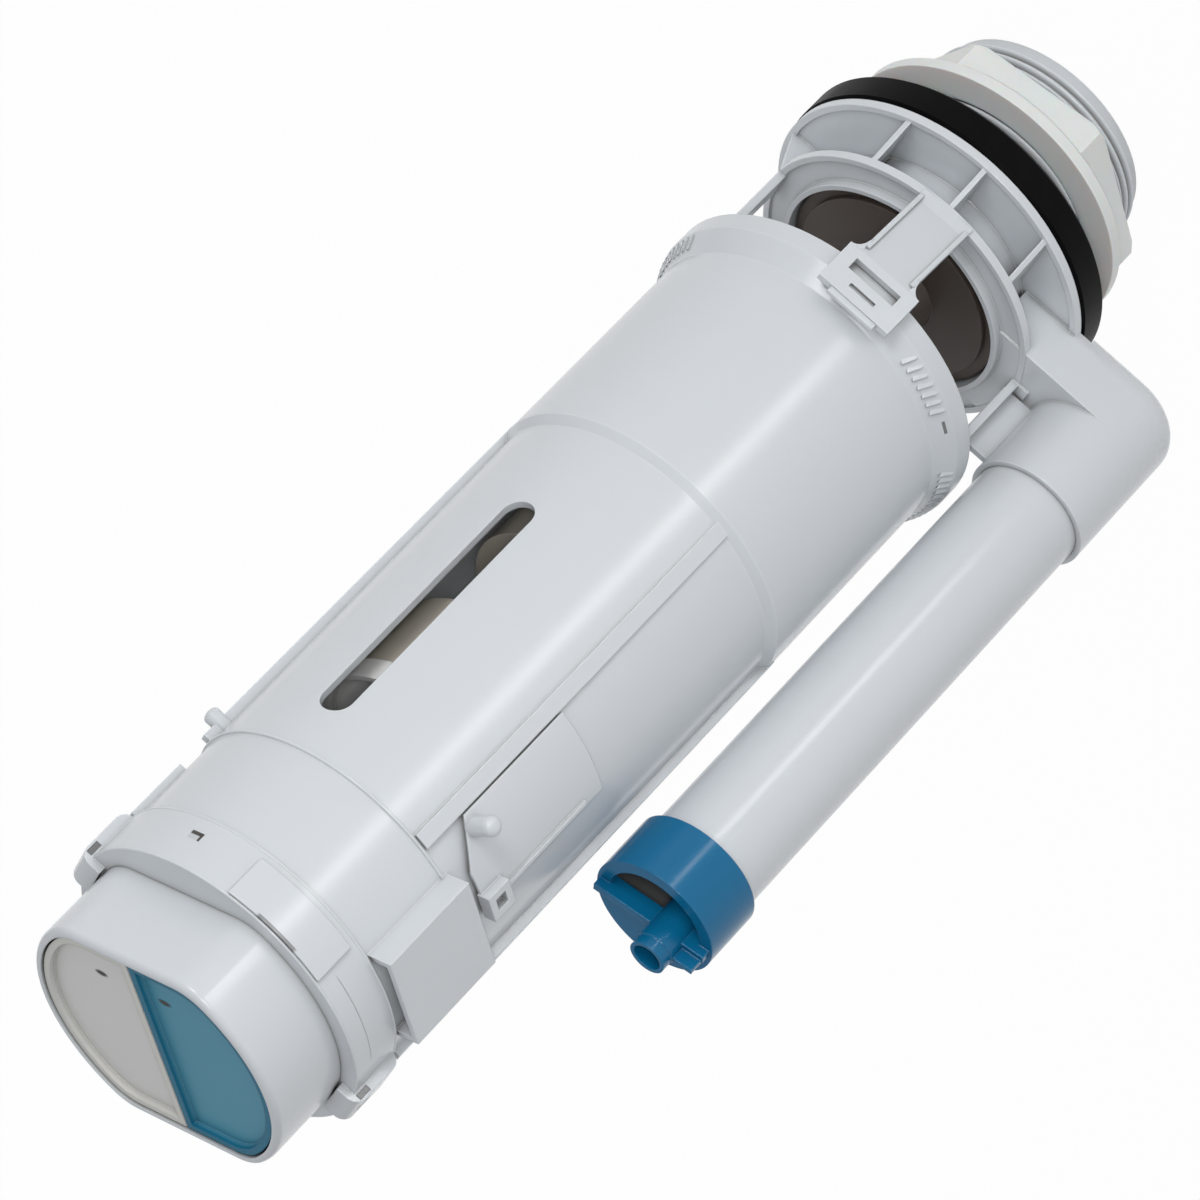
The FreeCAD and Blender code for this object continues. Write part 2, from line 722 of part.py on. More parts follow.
def guide_sleeve():
    """The flat sleeve, open at both ends, that the volume slide runs up into."""
    outside = box("guide_block", ("-guide_width / 2", "-guide_outer", "guide_bottom"),
                  ("guide_width", "guide_outer - crown_radius + 7", "guide_top - guide_bottom"))
    inside = box("guide_space", ("guide_wall - guide_width / 2", "guide_wall - guide_outer",
                                 "guide_bottom - 1"),
                 ("guide_width - 2 * guide_wall", "guide_outer - crown_radius + 9",
                  "guide_top - guide_bottom + 2"))
    return turned(cut("guide_sleeve", outside, inside), "guide_turn")


def make_tower_body():
    """The tall moulding that houses the floats and carries the rockers."""
    deck = cylinder("deck_plate", "crown_radius - 1", "deck_bottom", "deck_thickness")
    holes = []
    for side, sign in SIDES:
        hole = cylinder(side + "_rod_hole", "rod_hole", "deck_bottom - 1", "deck_thickness + 2",
                        (sign + "rod_offset", "0"))
        holes.append(turned_copy(side + "_rod_way", hole, "button_turn"))
    centre = cylinder("deck_centre_hole", "lift_head_radius + 2", "deck_bottom - 1",
                      "deck_thickness + 2")
    deck = cut("deck", deck, holes + [centre])
    drum_space = cylinder("drum_space", "crown_radius - tower_wall", "guide_bottom - 2",
                          "tower_top - guide_bottom + 6")
    sleeve = cut("guide_outside_drum", guide_sleeve(), drum_space)
    rails = []
    for turn in (90, -90):
        rails.append(lying_rib("rail_%d" % (turn + 90), str(turn), "crown_radius - 1.2",
                               "rail_outer",
                               "rail_thickness", "step_bottom - 2", "ridge_low - 1"))
        rails.append(lying_rib("rail_top_%d" % (turn + 90), str(turn), "crown_radius - 1.2",
                               "rail_top_outer", "rail_thickness", "ridge_low + 8",
                               "tower_top - 2"))
    rib = lying_rib("long_rib", "rib_turn", "crown_radius - 1.2", "upper_radius + 0.5",
                    "rib_width", "step_bottom", "ridge_low")
    peg = lying_cylinder("side_peg", "peg_radius", ("crown_radius - 1.5", "0", "peg_height"),
                         "peg_reach - crown_radius + 1.5", along="x")
    hangers = rocker_hangers()
    solid = fuse("tower_solid", [tower_turning(), skirt_teeth(), deck, sleeve, rib, peg]
                 + rails + hangers)
    spaces = [window_space("front_window", "window_turn"),
              window_space("rear_window", "window_turn + 180"),
              pin_spaces()]
    return cut("tower_body", solid, spaces)


def pivot_level(side):
    """The height of a rocker's pin: the half-flush one hangs lower."""
    return "pivot_height" if side == "full" else "pivot_height - half_pivot_drop"


def rocker_hangers():
    """Two pairs of ears that hang from the deck and hold the rocker pins."""
    items = []
    for side, sign in SIDES:
        level = pivot_level(side)
        for name, start in (("near", "rocker_width / 2 + 0.6"),
                            ("far", "-rocker_width / 2 - pin_end")):
            ear = box("%s_%s_ear_block" % (side, name),
                      (sign + "pivot_offset - rocker_hub", start, level + " - rocker_hub"),
                      ("2 * rocker_hub", "pin_end - 0.6",
                       "deck_bottom - (%s) + rocker_hub + 0.5" % level))
            items.append(turned_copy("%s_%s_ear" % (side, name), ear, "button_turn"))
    return items


def pin_spaces():
    """Bores for the two rocker pins."""
    bores = [lying_cylinder(side + "_pin_space", "pin_radius",
                            (sign + "pivot_offset", "-rocker_width / 2 - pin_end - 1",
                             pivot_level(side)), "rocker_width + 2 * pin_end + 2")
             for side, sign in SIDES]
    return turned(fuse("pin_spaces", bores), "button_turn")


def make_rocker_pins():
    """Two plain steel pins, one for each rocker."""
    pins = [lying_cylinder(side + "_pin", "pin_radius",
                           (sign + "pivot_offset", "-rocker_width / 2 - pin_end",
                            pivot_level(side)), "rocker_width + 2 * pin_end")
            for side, sign in SIDES]
    item = doc.addObject("Part::Compound", "rocker_pins")
    item.Links = pins
    return turned(item, "button_turn")


def make_volume_slide():
    """The curved slide with its finger peg and cord loop that sets the flush volume."""
    inner = size("slide_inner")
    outer = inner + size("slide_thickness")
    plate = sector("slide_plate", inner, outer, size("slide_bottom"), size("slide_high_edge"),
                   -size("slide_end"), -size("slide_start"))
    wedge = doc.addObject("PartDesign::Body", "slide_wedge")
    sketch = outline(wedge, "slide_wedge_outline", "XZ_Plane", [
        ("-slide_inner * 0.4", "slide_low_edge"),
        ("-slide_inner * 0.65", "slide_high_edge"),
        ("-slide_inner * 0.65", "slide_high_edge + 5"),
        ("0", "slide_high_edge + 5"),
        ("0", "slide_low_edge"),
    ])
    pad = wedge.newObject("PartDesign::Pad", "slide_wedge_pad")
    pad.Profile = sketch
    pad.Midplane = True
    bind(pad, "Length", "4 * slide_inner")
    wedge.Tip = pad
    trimmed = cut("slide_trimmed", plate, wedge)
    peg = lying_cylinder("slide_peg_block", "slide_peg_radius",
                         ("0", "-slide_inner - slide_thickness / 2 - slide_peg_length",
                          "slide_peg_height"), "slide_peg_length")
    peg = turned_copy("slide_peg", peg, "slide_peg_turn")
    loop = box("slide_loop_block", ("-slide_loop_size / 2", "-slide_inner - slide_thickness - 2.4",
                                    "slide_loop_height"),
               ("slide_loop_size", "3.4", "slide_loop_size"))
    hole = box("slide_loop_space", ("-slide_loop_hole / 2", "-slide_inner - 6",
                                    "slide_loop_height + (slide_loop_size - slide_loop_hole) / 2"),
               ("slide_loop_hole", "6 - slide_thickness - 0.2", "slide_loop_hole"))
    loop = turned(cut("slide_loop", loop, hole), "slide_loop_turn")
    ridge = box("slide_ridge_block", ("-0.6", "-slide_inner - slide_thickness - 0.8",
                                      "slide_bottom + 6"),
                ("1.2", "1.4", "slide_loop_height - slide_bottom - 6.5"))
    ridge = turned_copy("slide_ridge", ridge, "slide_loop_turn")
    return fuse("volume_slide", [trimmed, peg, loop, ridge])


def head_form(name, radius, flat, bottom, top):
    """A drum with two parallel flats and softened corners, as the head and all in it is."""
    drum = cylinder(name + "_drum", radius, bottom, "(%s) - (%s)" % (top, bottom))
    slab = box(name + "_slab", ("-(%s)" % radius, "-(%s)" % flat, bottom),
               ("2 * (%s)" % radius, "2 * (%s)" % flat, "(%s) - (%s)" % (top, bottom)))
    sharp = common(name + "_sharp", drum, slab)
    return round_edges(name, sharp, "head_corner",
                       lambda edge: edge.BoundBox.XLength + edge.BoundBox.YLength < 0.01)


def make_clamp_collar():
    """The collar that locks the head on the tower, with its two latch lugs."""
    skirt = cylinder("clamp_skirt", "clamp_radius", "clamp_bottom", "clamp_top - clamp_bottom")
    opening = turned(head_form("clamp_opening", "head_radius + 0.05", "head_flat + 0.05",
                               "clamp_bottom - 1", "clamp_top + 1"), "button_turn")
    hollow = cylinder("clamp_hollow", "clamp_radius - clamp_skirt_wall", "clamp_bottom - 1",
                      "clamp_top - clamp_bottom - clamp_deck + 1")
    panel = sector("clamp_panel", size("clamp_radius") - 1, size("clamp_radius") + size("panel_rise"),
                   size("clamp_bottom") + 2.4, size("clamp_top") - 0.6, -26.8, 13.2)
    lugs = []
    for turn in (90, -90):
        lug = box("lug_%d_block" % (turn + 90), ("-lug_width / 2", "-lug_outer", "lug_bottom"),
                  ("lug_width", "lug_outer - lug_inner", "lug_top - lug_bottom"))
        hole = box("lug_%d_space" % (turn + 90),
                   ("-lug_hole / 2", "-lug_outer - 1", "lug_top - lug_hole - 2.2"),
                   ("lug_hole", "lug_outer - lug_inner + 2", "lug_hole"))
        rounded = round_edges("lug_%d_rounded" % (turn + 90), lug, "lug_round",
                              lambda edge: edge.BoundBox.ZLength < 0.01
                              and edge.BoundBox.YMax < -size("lug_outer") + 0.01)
        lugs.append(turned(cut("lug_%d" % (turn + 90), rounded, hole), str(turn)))
    solid = fuse("clamp_solid", [skirt, panel] + lugs)
    return cut("clamp_collar", solid, [opening, hollow])


def make_head_shell():
    """The head: an open shell with two flats that frames the push buttons."""
    outside = head_form("head_outside", "head_radius", "head_flat", "head_foot", "head_top")
    top = size("head_top")
    rounded = round_edges("head_rounded", outside, "head_round",
                          lambda edge: edge.BoundBox.ZMin > top - 0.01)
    inside = head_form("head_inside", "head_radius - head_wall", "head_flat - head_wall",
                       "head_foot - 1", "head_top + 1")
    return turned(cut("head_shell", rounded, inside), "button_turn")


def button_half(name, sign, inset, bottom, top):
    """One half of the head's outline, moved in by an inset on every side."""
    form = head_form(name + "_form", "head_radius - head_wall - button_gap - (%s)" % inset,
                     "head_flat - head_wall - button_gap - (%s)" % inset, bottom, top)
    start = "divider_gap / 2 + (%s)" % inset if sign > 0 else "-head_radius"
    half = box(name + "_half", (start, "-head_radius", bottom),
               ("head_radius - divider_gap / 2 - (%s)" % inset, "2 * head_radius",
                "(%s) - (%s)" % (top, bottom)))
    return common(name, form, half)


def make_button(name, sign):
    """A push button: a half-round tray with a raised rim and a skirt below."""
    block = button_half(name + "_block", sign, "0", "button_bottom", "button_top")
    tray = button_half(name + "_tray", sign, "tray_rim", "button_top - tray_depth",
                       "button_top + 1")
    hollow = button_half(name + "_hollow", sign, "button_skin", "button_bottom - 1",
                         "button_top - tray_depth - button_skin")
    return turned(cut(name, block, [tray, hollow]), "button_turn")


def make_push_rod(name, sign, foot):
    """The rod under a button, with the collar that its spring pushes on."""
    centre = ("%srod_offset" % sign, "0")
    top = "button_top - tray_depth - button_skin"
    rod = cylinder(name + "_shaft", "rod_radius", foot, "%s - (%s)" % (top, foot), centre)
    collar = cylinder(name + "_collar", "rod_collar_radius", "rod_collar_bottom",
                      "rod_collar_height", centre)
    return turned(fuse(name, [rod, collar]), "button_turn")


def make_button_spring(name, sign):
    """The coil that brings a button back up: a square wire wound on a helix."""
    wire = size("wire_radius")
    radius = size("spring_radius")
    low = size("deck_bottom") + size("deck_thickness") + wire
    high = size("rod_collar_bottom") - wire
    steps_per_turn = 10
    steps = int(size("spring_turns")) * steps_per_turn

    def section(step):
        """The four corners of the wire at one step of the helix."""
        angle = 2 * math.pi * step / steps_per_turn
        height = low + (high - low) * step / steps
        return [FreeCAD.Vector((radius + out) * math.cos(angle), (radius + out) * math.sin(angle),
                               height + up)
                for out, up in ((-wire, -wire), (wire, -wire), (wire, wire), (-wire, wire))]

    rings = [section(step) for step in range(steps + 1)]
    faces = [Part.Face(Part.makePolygon(ring + ring[:1])) for ring in (rings[0], rings[-1])]
    for ring, after in zip(rings, rings[1:]):
        for i in range(4):
            j = (i + 1) % 4
            faces.append(Part.Face(Part.makePolygon([ring[i], ring[j], after[i], ring[i]])))
            faces.append(Part.Face(Part.makePolygon([ring[j], after[j], after[i], ring[j]])))
    coil = Part.makeSolid(Part.makeShell(faces))
    item = doc.addObject("Part::Feature", name)
    item.Shape = coil if coil.Volume > 0 else coil.reversed()
    turn = FreeCAD.Rotation(Z_AXIS, size("button_turn"))
    centre = turn.multVec(FreeCAD.Vector(sign * size("rod_offset"), 0, 0))
    item.Placement = FreeCAD.Placement(centre, turn)
    return item


def make_rocker(side, sign):
    """A two-armed lever: the rod presses its outer pad, its fork lifts what it straddles."""
    name = side + "_rocker"
    slot_width = side + "_fork_slot"
    hub = lying_cylinder(name + "_hub", "rocker_hub", ("0", "-rocker_width / 2", "0"),
                         "rocker_width")
    bar = box(name + "_bar", ("-lift_arm", "-rocker_width / 2", "-rocker_thickness / 2"),
              ("push_arm + lift_arm", "rocker_width", "rocker_thickness"))
    pad = lying_cylinder(name + "_pad", "rocker_thickness / 2",
                         ("push_arm", "-rocker_width / 2", "0"), "rocker_width")
    tip = lying_cylinder(name + "_tip", "rocker_thickness / 2",
                         ("-lift_arm", "-rocker_width / 2", "0"), "rocker_width")
    slot = box(name + "_fork", ("-lift_arm - rocker_thickness", "-%s / 2" % slot_width,
                                "-rocker_thickness"),
               ("fork_slot_length", slot_width, "2 * rocker_thickness"))
    bore = lying_cylinder(name + "_bore", "pin_radius + pivot_clearance",
                          ("0", "-rocker_width", "0"), "2 * rocker_width")
    lever = cut(name + "_lever", fuse(name + "_solid", [hub, bar, pad, tip]), [slot, bore])
    tilt = FreeCAD.Rotation(FreeCAD.Vector(0, -1, 0), 1)
    lever.Placement = FreeCAD.Placement(FreeCAD.Vector(), tilt)
    bind(lever, "Placement.Rotation.Angle", "rocker_tilt")
    swung = turned_copy(name + "_swung", lever, "0" if sign > 0 else "180")
    bind(swung, "Placement.Base.x", "pivot_offset" if sign > 0 else "-pivot_offset")
    bind(swung, "Placement.Base.z", pivot_level(side))
    return turned_copy(name, swung, "button_turn")


def make_valve_stem():
    """The stout stem from the valve disc up to its sloping shoulder."""
    return turning("valve_stem", [
        ("0", "stem_foot"),
        ("stem_radius", "stem_foot"),
        ("stem_radius", "stem_shoulder"),
        ("neck_rod_radius", "stem_shoulder + stem_cone"),
        ("0", "stem_shoulder + stem_cone"),
    ])


def make_stem_rod():
    """The thin rod that carries the pull up from the stem's shoulder."""
    foot = "stem_shoulder + stem_cone + 0.05"
    return cylinder("stem_rod", "neck_rod_radius", foot, "lift_head_bottom - 0.05 - (%s)" % foot)


def make_lift_head():
    """The round head on the rod that the full-flush fork lifts."""
    return cylinder("lift_head", "lift_head_radius", "lift_head_bottom", "lift_head_thickness")


def make_valve_disc():
    """The stiff plate that presses the seal on its seat."""
    bottom = "seal_bottom + seal_thickness"
    return turning("valve_disc", [
        ("0", bottom),
        ("disc_radius", bottom),
        ("disc_radius", bottom + " + 1.4"),
        ("stem_radius + 5", bottom + " + 1.8"),
        ("stem_radius + 1.6", "stem_foot + 6"),
        ("stem_radius", "stem_foot + 6"),
        ("stem_radius", "stem_foot"),
        ("0", "stem_foot"),
    ])


def make_seat_seal():
    """The soft ring that lies in the mouth of the funnel."""
    return turning("seat_seal", [
        ("seal_hole", "seal_bottom"),
        ("seal_radius - 0.8", "seal_bottom"),
        ("seal_radius", "seal_bottom + 0.8"),
        ("seal_radius", "seal_bottom + seal_thickness - 0.1"),
        ("seal_hole", "seal_bottom + seal_thickness - 0.1"),
    ])


def make_seal_retainer():
    """The cone under the seal that holds it and guides the flow."""
    return turning("seal_retainer", [
        ("0", "seal_bottom - retainer_height"),
        ("seal_hole / 2", "seal_bottom - retainer_height"),
        ("retainer_radius", "seal_bottom - 1"),
        ("retainer_radius", "seal_bottom - 0.1"),
        ("seal_hole - 0.1", "seal_bottom - 0.1"),
        ("seal_hole - 0.1", "seal_bottom + seal_thickness - 0.1"),
        ("0", "seal_bottom + seal_thickness - 0.1"),
    ])


def make_main_float():
    """The upturned cup on the stem that holds the valve open while it floats."""
    return turning("main_float", [
        ("stem_radius + 0.05", "float_bottom"),
        ("stem_radius + float_wall", "float_bottom"),
        ("stem_radius + float_wall", "float_top - float_wall"),
        ("float_radius - float_wall", "float_top - float_wall"),
        ("float_radius - float_wall", "float_bottom"),
        ("float_radius", "float_bottom"),
        ("float_radius", "float_top"),
        ("stem_radius + 0.05", "float_top"),
    ])


def make_float_ring():
    """The white ring on top of the short-flush float, seen through the window."""
    return turning("float_ring", [
        ("half_float_radius - 6", "half_float_top"),
        ("float_ring_radius", "half_float_top"),
        ("float_ring_radius", "half_float_top + float_ring_height"),
        ("float_ring_radius - float_wall", "half_float_top + float_ring_height"),
        ("float_ring_radius - float_wall", "half_float_top + float_wall"),
        ("half_float_radius - 6", "half_float_top + float_wall"),
    ])


def make_half_float():
    """The short-flush float: an upturned cup held on the lift sleeve."""
    hole = "neck_rod_radius + sleeve_clearance + sleeve_wall + 0.05"
    return turning("half_float", [
        (hole, "half_float_top - float_wall"),
        ("half_float_radius - float_wall", "half_float_top - float_wall"),
        ("half_float_radius - float_wall", "half_float_bottom"),
        ("half_float_radius", "half_float_bottom"),
        ("half_float_radius", "half_float_top"),
        (hole, "half_float_top"),
    ])


def sleeve_ring(name, outside, bottom, top):
    """A ring that slides on the stem's rod."""
    inside = "neck_rod_radius + sleeve_clearance"
    return turning(name, [(inside, bottom), (outside, bottom), (outside, top), (inside, top)])


def make_lift_sleeve():
    """The thin sleeve that slides on the rod and lifts the short-flush float."""
    return sleeve_ring("lift_sleeve", "neck_rod_radius + sleeve_clearance + sleeve_wall",
                       "sleeve_foot", "sleeve_flange_bottom - 0.05")


def make_sleeve_flange():
    """The flange ring at the sleeve's top that the half-flush fork lifts."""
    return sleeve_ring("sleeve_flange", "sleeve_flange_radius", "sleeve_flange_bottom",
                       "sleeve_flange_bottom + sleeve_flange_height")


nodes = [
    make_base_housing(),
    make_sealing_gasket(),
    make_back_nut(),
    make_overflow_tube(),
    make_overflow_cap(),
    make_tower_body(),
    make_rocker_pins(),
    make_volume_slide(),
    make_clamp_collar(),
    make_head_shell(),
    make_button("full_flush_button", -1),
    make_button("half_flush_button", 1),
    make_push_rod("full_push_rod", "-", "rod_foot"),
    make_push_rod("half_push_rod", "", "rod_foot - half_pivot_drop"),
    make_button_spring("full_button_spring", -1),
    make_button_spring("half_button_spring", 1),
    make_rocker("full", -1),
    make_rocker("half", 1),
    make_valve_stem(),
    make_stem_rod(),
    make_lift_head(),
    make_valve_disc(),
    make_seat_seal(),
    make_seal_retainer(),
    make_main_float(),
    make_float_ring(),
    make_half_float(),
    make_lift_sleeve(),
    make_sleeve_flange(),
]
doc.recompute()

broken = [item.Name for item in doc.Objects
          if "Invalid" in item.State or "Error" in item.State]
unsound = [item.Label for item in nodes if item.Shape.isNull() or not item.Shape.isValid()]
if broken or unsound:
    raise RuntimeError("failed objects: %s, unsound shapes: %s" % (broken, unsound))

os.makedirs("parts", exist_ok=True)
for item in nodes:
    item.Shape.exportStep(os.path.join("parts", item.Label + ".step"))
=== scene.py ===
"""Looks of a dual-flush valve for a toilet cistern: pale mouldings, blue cap and button,
black gasket and milky back nut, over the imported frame.

Everything is in metres in the frame's own axes: +Z up to the push buttons, -Y to the
front with the release clip, and the overflow tube on the -X side.
"""
import json
import math

import bmesh
import bpy
import numpy as np
from mathutils import Matrix, Vector


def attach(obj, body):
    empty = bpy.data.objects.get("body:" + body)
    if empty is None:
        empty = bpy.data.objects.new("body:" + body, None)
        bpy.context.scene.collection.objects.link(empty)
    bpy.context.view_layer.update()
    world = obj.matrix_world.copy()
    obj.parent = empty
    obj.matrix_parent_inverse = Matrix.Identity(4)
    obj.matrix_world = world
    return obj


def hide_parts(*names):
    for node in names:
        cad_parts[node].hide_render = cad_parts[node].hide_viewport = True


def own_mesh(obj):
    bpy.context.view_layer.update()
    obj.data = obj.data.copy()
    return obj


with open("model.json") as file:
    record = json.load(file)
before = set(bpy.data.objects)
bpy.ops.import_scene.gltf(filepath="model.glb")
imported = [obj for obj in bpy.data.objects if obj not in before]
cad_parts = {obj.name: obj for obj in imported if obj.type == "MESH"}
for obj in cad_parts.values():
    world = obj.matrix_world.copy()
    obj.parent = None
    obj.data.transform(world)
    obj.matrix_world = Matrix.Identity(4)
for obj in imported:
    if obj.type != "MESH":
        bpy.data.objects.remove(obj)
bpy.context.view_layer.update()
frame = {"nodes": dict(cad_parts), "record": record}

MM = 0.001

# Where the photograph was taken from.
VIEW_CENTRE = Vector((-1.765, 0.136, 140.1)) * MM
VIEW_TURN = math.radians(4.4)
VIEW_RISE = math.radians(28.8)
VIEW_ROLL = math.radians(136.0)
VIEW_DISTANCE = 1378.3 * MM
LENS = 182.7

# Sizes that the added detail shares with the frame.
THREAD_CREST = 29.8 * MM
THREAD_ROOT = 28.4 * MM
THREAD_PITCH = 2.31 * MM
SPIGOT_END = -34.9 * MM
GASKET_TOP = 9.4 * MM
FLOOR_LEVEL = -35.5 * MM
HEAD_TURN = math.radians(35.4)
RIM_LEVEL = 292.9 * MM
EDGE_ROUND = 0.45 * MM
# The dark colour of the marks: painted shade in slots, notches, eyes, dimples and the tube.
MARK_SHADE = (0.055, 0.050, 0.045, 1.0)
# Marks in the surface: direction in degrees and height of the middle, with half sizes
# and the share of the dark shade. The first three are a slot's shaded edges and floor on
# the clamp collar, then come the panel's notch, a seam beside it and the skirt's slot;
# the slot on the collar, the notch and the skirt's slot are darkened as painted shade.
TOWER_MARKS = (
    ((36.7, 264.4 * MM), (2.6, 0.5 * MM), 0.85),
    ((34.6, 265.2 * MM), (0.5, 1.0 * MM), 0.85),
    ((36.7, 265.1 * MM), (2.6, 1.15 * MM), 0.15),
    ((-6.6, 272.7 * MM), (8.5, 0.40 * MM), 0.6),
    ((-50.0, 268.4 * MM), (20.0, 0.13 * MM), 0.35),
    ((-52.0, 61.0 * MM), (2.6, 0.35 * MM), 0.75),
)
# The beads' distance from the axis and height.
EDGE_BEADS = (
    ("ridge_bead", 37.95 * MM, 233.9 * MM),
    ("clamp_low_bead", 38.2 * MM, 260.05 * MM),
    ("clamp_high_bead", 38.2 * MM, 273.25 * MM),
)
BEAD_SIZE = 0.4 * MM
# The pegs' ends: place, direction from the front toward +X, radius and dome, and body.
PEG_TIPS = (
    ("finger_peg_tip", (-21.95 * MM, -40.43 * MM, 221.2 * MM), math.radians(-28.5),
     2.3 * MM, 1.5 * MM, "slide"),
    ("side_peg_tip", (42.2 * MM, 0.0, 226.8 * MM), math.radians(90.0),
     2.1 * MM, 1.2 * MM, "frame"),
)
# The overflow tube's place across and the radius of its inside, which is painted dark as shade.
TUBE_CENTRE = -59.3 * MM
TUBE_BORE = 12.5 * MM
# The eye in each latch lug, a dark patch of painted shade that stands for a hole: distance
# to the side and height, and the depth and height of the face that it is on, each with
# half sizes.
LUG_EYE = (39.2 * MM, 271.9 * MM)
LUG_EYE_HALF = (0.75 * MM, 1.8 * MM)
LUG_FACE = (-5.7 * MM, 271.9 * MM)
LUG_FACE_HALF = (0.3 * MM, 3.0 * MM)
# The dimples in the push buttons, sunk and painted dark as shade: places, and half sizes of each.
THUMB_MARKS = ((19.1 * MM, -5.7 * MM, 292.3 * MM), (4.0 * MM, -16.5 * MM, 292.3 * MM))
THUMB_MARK_SIZE = (2.1 * MM, 1.0 * MM, 1.0 * MM)
# The release clip: the arm's lower and upper end, half widths of arm and head, the
# shoulder's lower end, its curve's start and its upper end, the curve's reach across and
# up, the tab's sides and levels, and the depths and rounding of the plates.
CLIP_FOOT = (0.0, -38.0 * MM, 25.4 * MM)
CLIP_TOP = (0.0, -45.2 * MM, 50.8 * MM)
CLIP_RIB_SIDE = 6.7 * MM
CLIP_RIB_SIZE = (1.2 * MM, 0.5 * MM)
CLIP_ARM_SIDE = 7.0 * MM
CLIP_HEAD_SIDE = 10.3 * MM
SHOULDER_LEVELS = (47.6 * MM, 52.4 * MM, 53.0 * MM)
SHOULDER_REACH = (3.0 * MM, 4.6 * MM)
TAB_SIDES = (-7.0 * MM, 6.5 * MM)
TAB_LEVELS = (64.4 * MM, 66.3 * MM)
SHOULDER_FRONT = -45.3 * MM
TAB_FRONT = -45.1 * MM
PLATE_BACK = -43.5 * MM
PLATE_ROUND = 0.35 * MM
# The thread's ridge: its section out and up, in shares of its height and pitch, the steps
# and the run-in in turns, and the radius inside which the spigot isn't turned down.
THREAD_SECTION = ((-0.4, -0.44), (0.75, -0.2), (1.0, -0.09), (1.0, 0.09), (0.75, 0.2), (-0.4, 0.44))
STEPS_PER_TURN = 96
THREAD_RUN_IN = 0.4
SPIGOT_INSIDE = 28.0 * MM
# Grain sizes and reaches in the plastic's finish.
FLOW_GRAIN = 26.0 * MM
SMUDGE_GRAIN = 9.0 * MM
SCUFF_GRAIN = 5.0 * MM
CREASE_REACH = 4.0 * MM
CORNER_REACH = 1.3 * MM
# The pale edges' reach and share: partly wear and partly a painted highlight.
WEAR_AND_HIGHLIGHT_REACH = 0.5 * MM
WEAR_AND_HIGHLIGHT_SHARE = 0.75
MARK_DEPTH = 0.5 * MM
# The lamp that makes the streak: width and height, and place.
STRIP_SIZE = (18.0 * MM, 290.0 * MM)
STRIP_PLACE = (-26.0 * MM, -190.0 * MM, 115.0 * MM)
# The camera's film width in millimetres, and half the floor's width in metres.
SENSOR_WIDTH = 36.0
FLOOR_HALF = 4.0


# Shader maths

class Signal:
    """A shader socket that takes part in sums and products."""

    def __init__(self, finish, socket):
        self.finish = finish
        self.socket = socket

    def combined(self, operation, first, second):
        made = self.finish.node("ShaderNodeMath", {"operation": operation},
                                {0: first, 1: second})
        return Signal(self.finish, made.outputs[0])

    def __add__(self, other):
        return self.combined("ADD", self, other)

    def __radd__(self, other):
        return self.combined("ADD", other, self)

    def __sub__(self, other):
        return self.combined("SUBTRACT", self, other)

    def __mul__(self, other):
        return self.combined("MULTIPLY", self, other)

    def __rmul__(self, other):
        return self.combined("MULTIPLY", other, self)


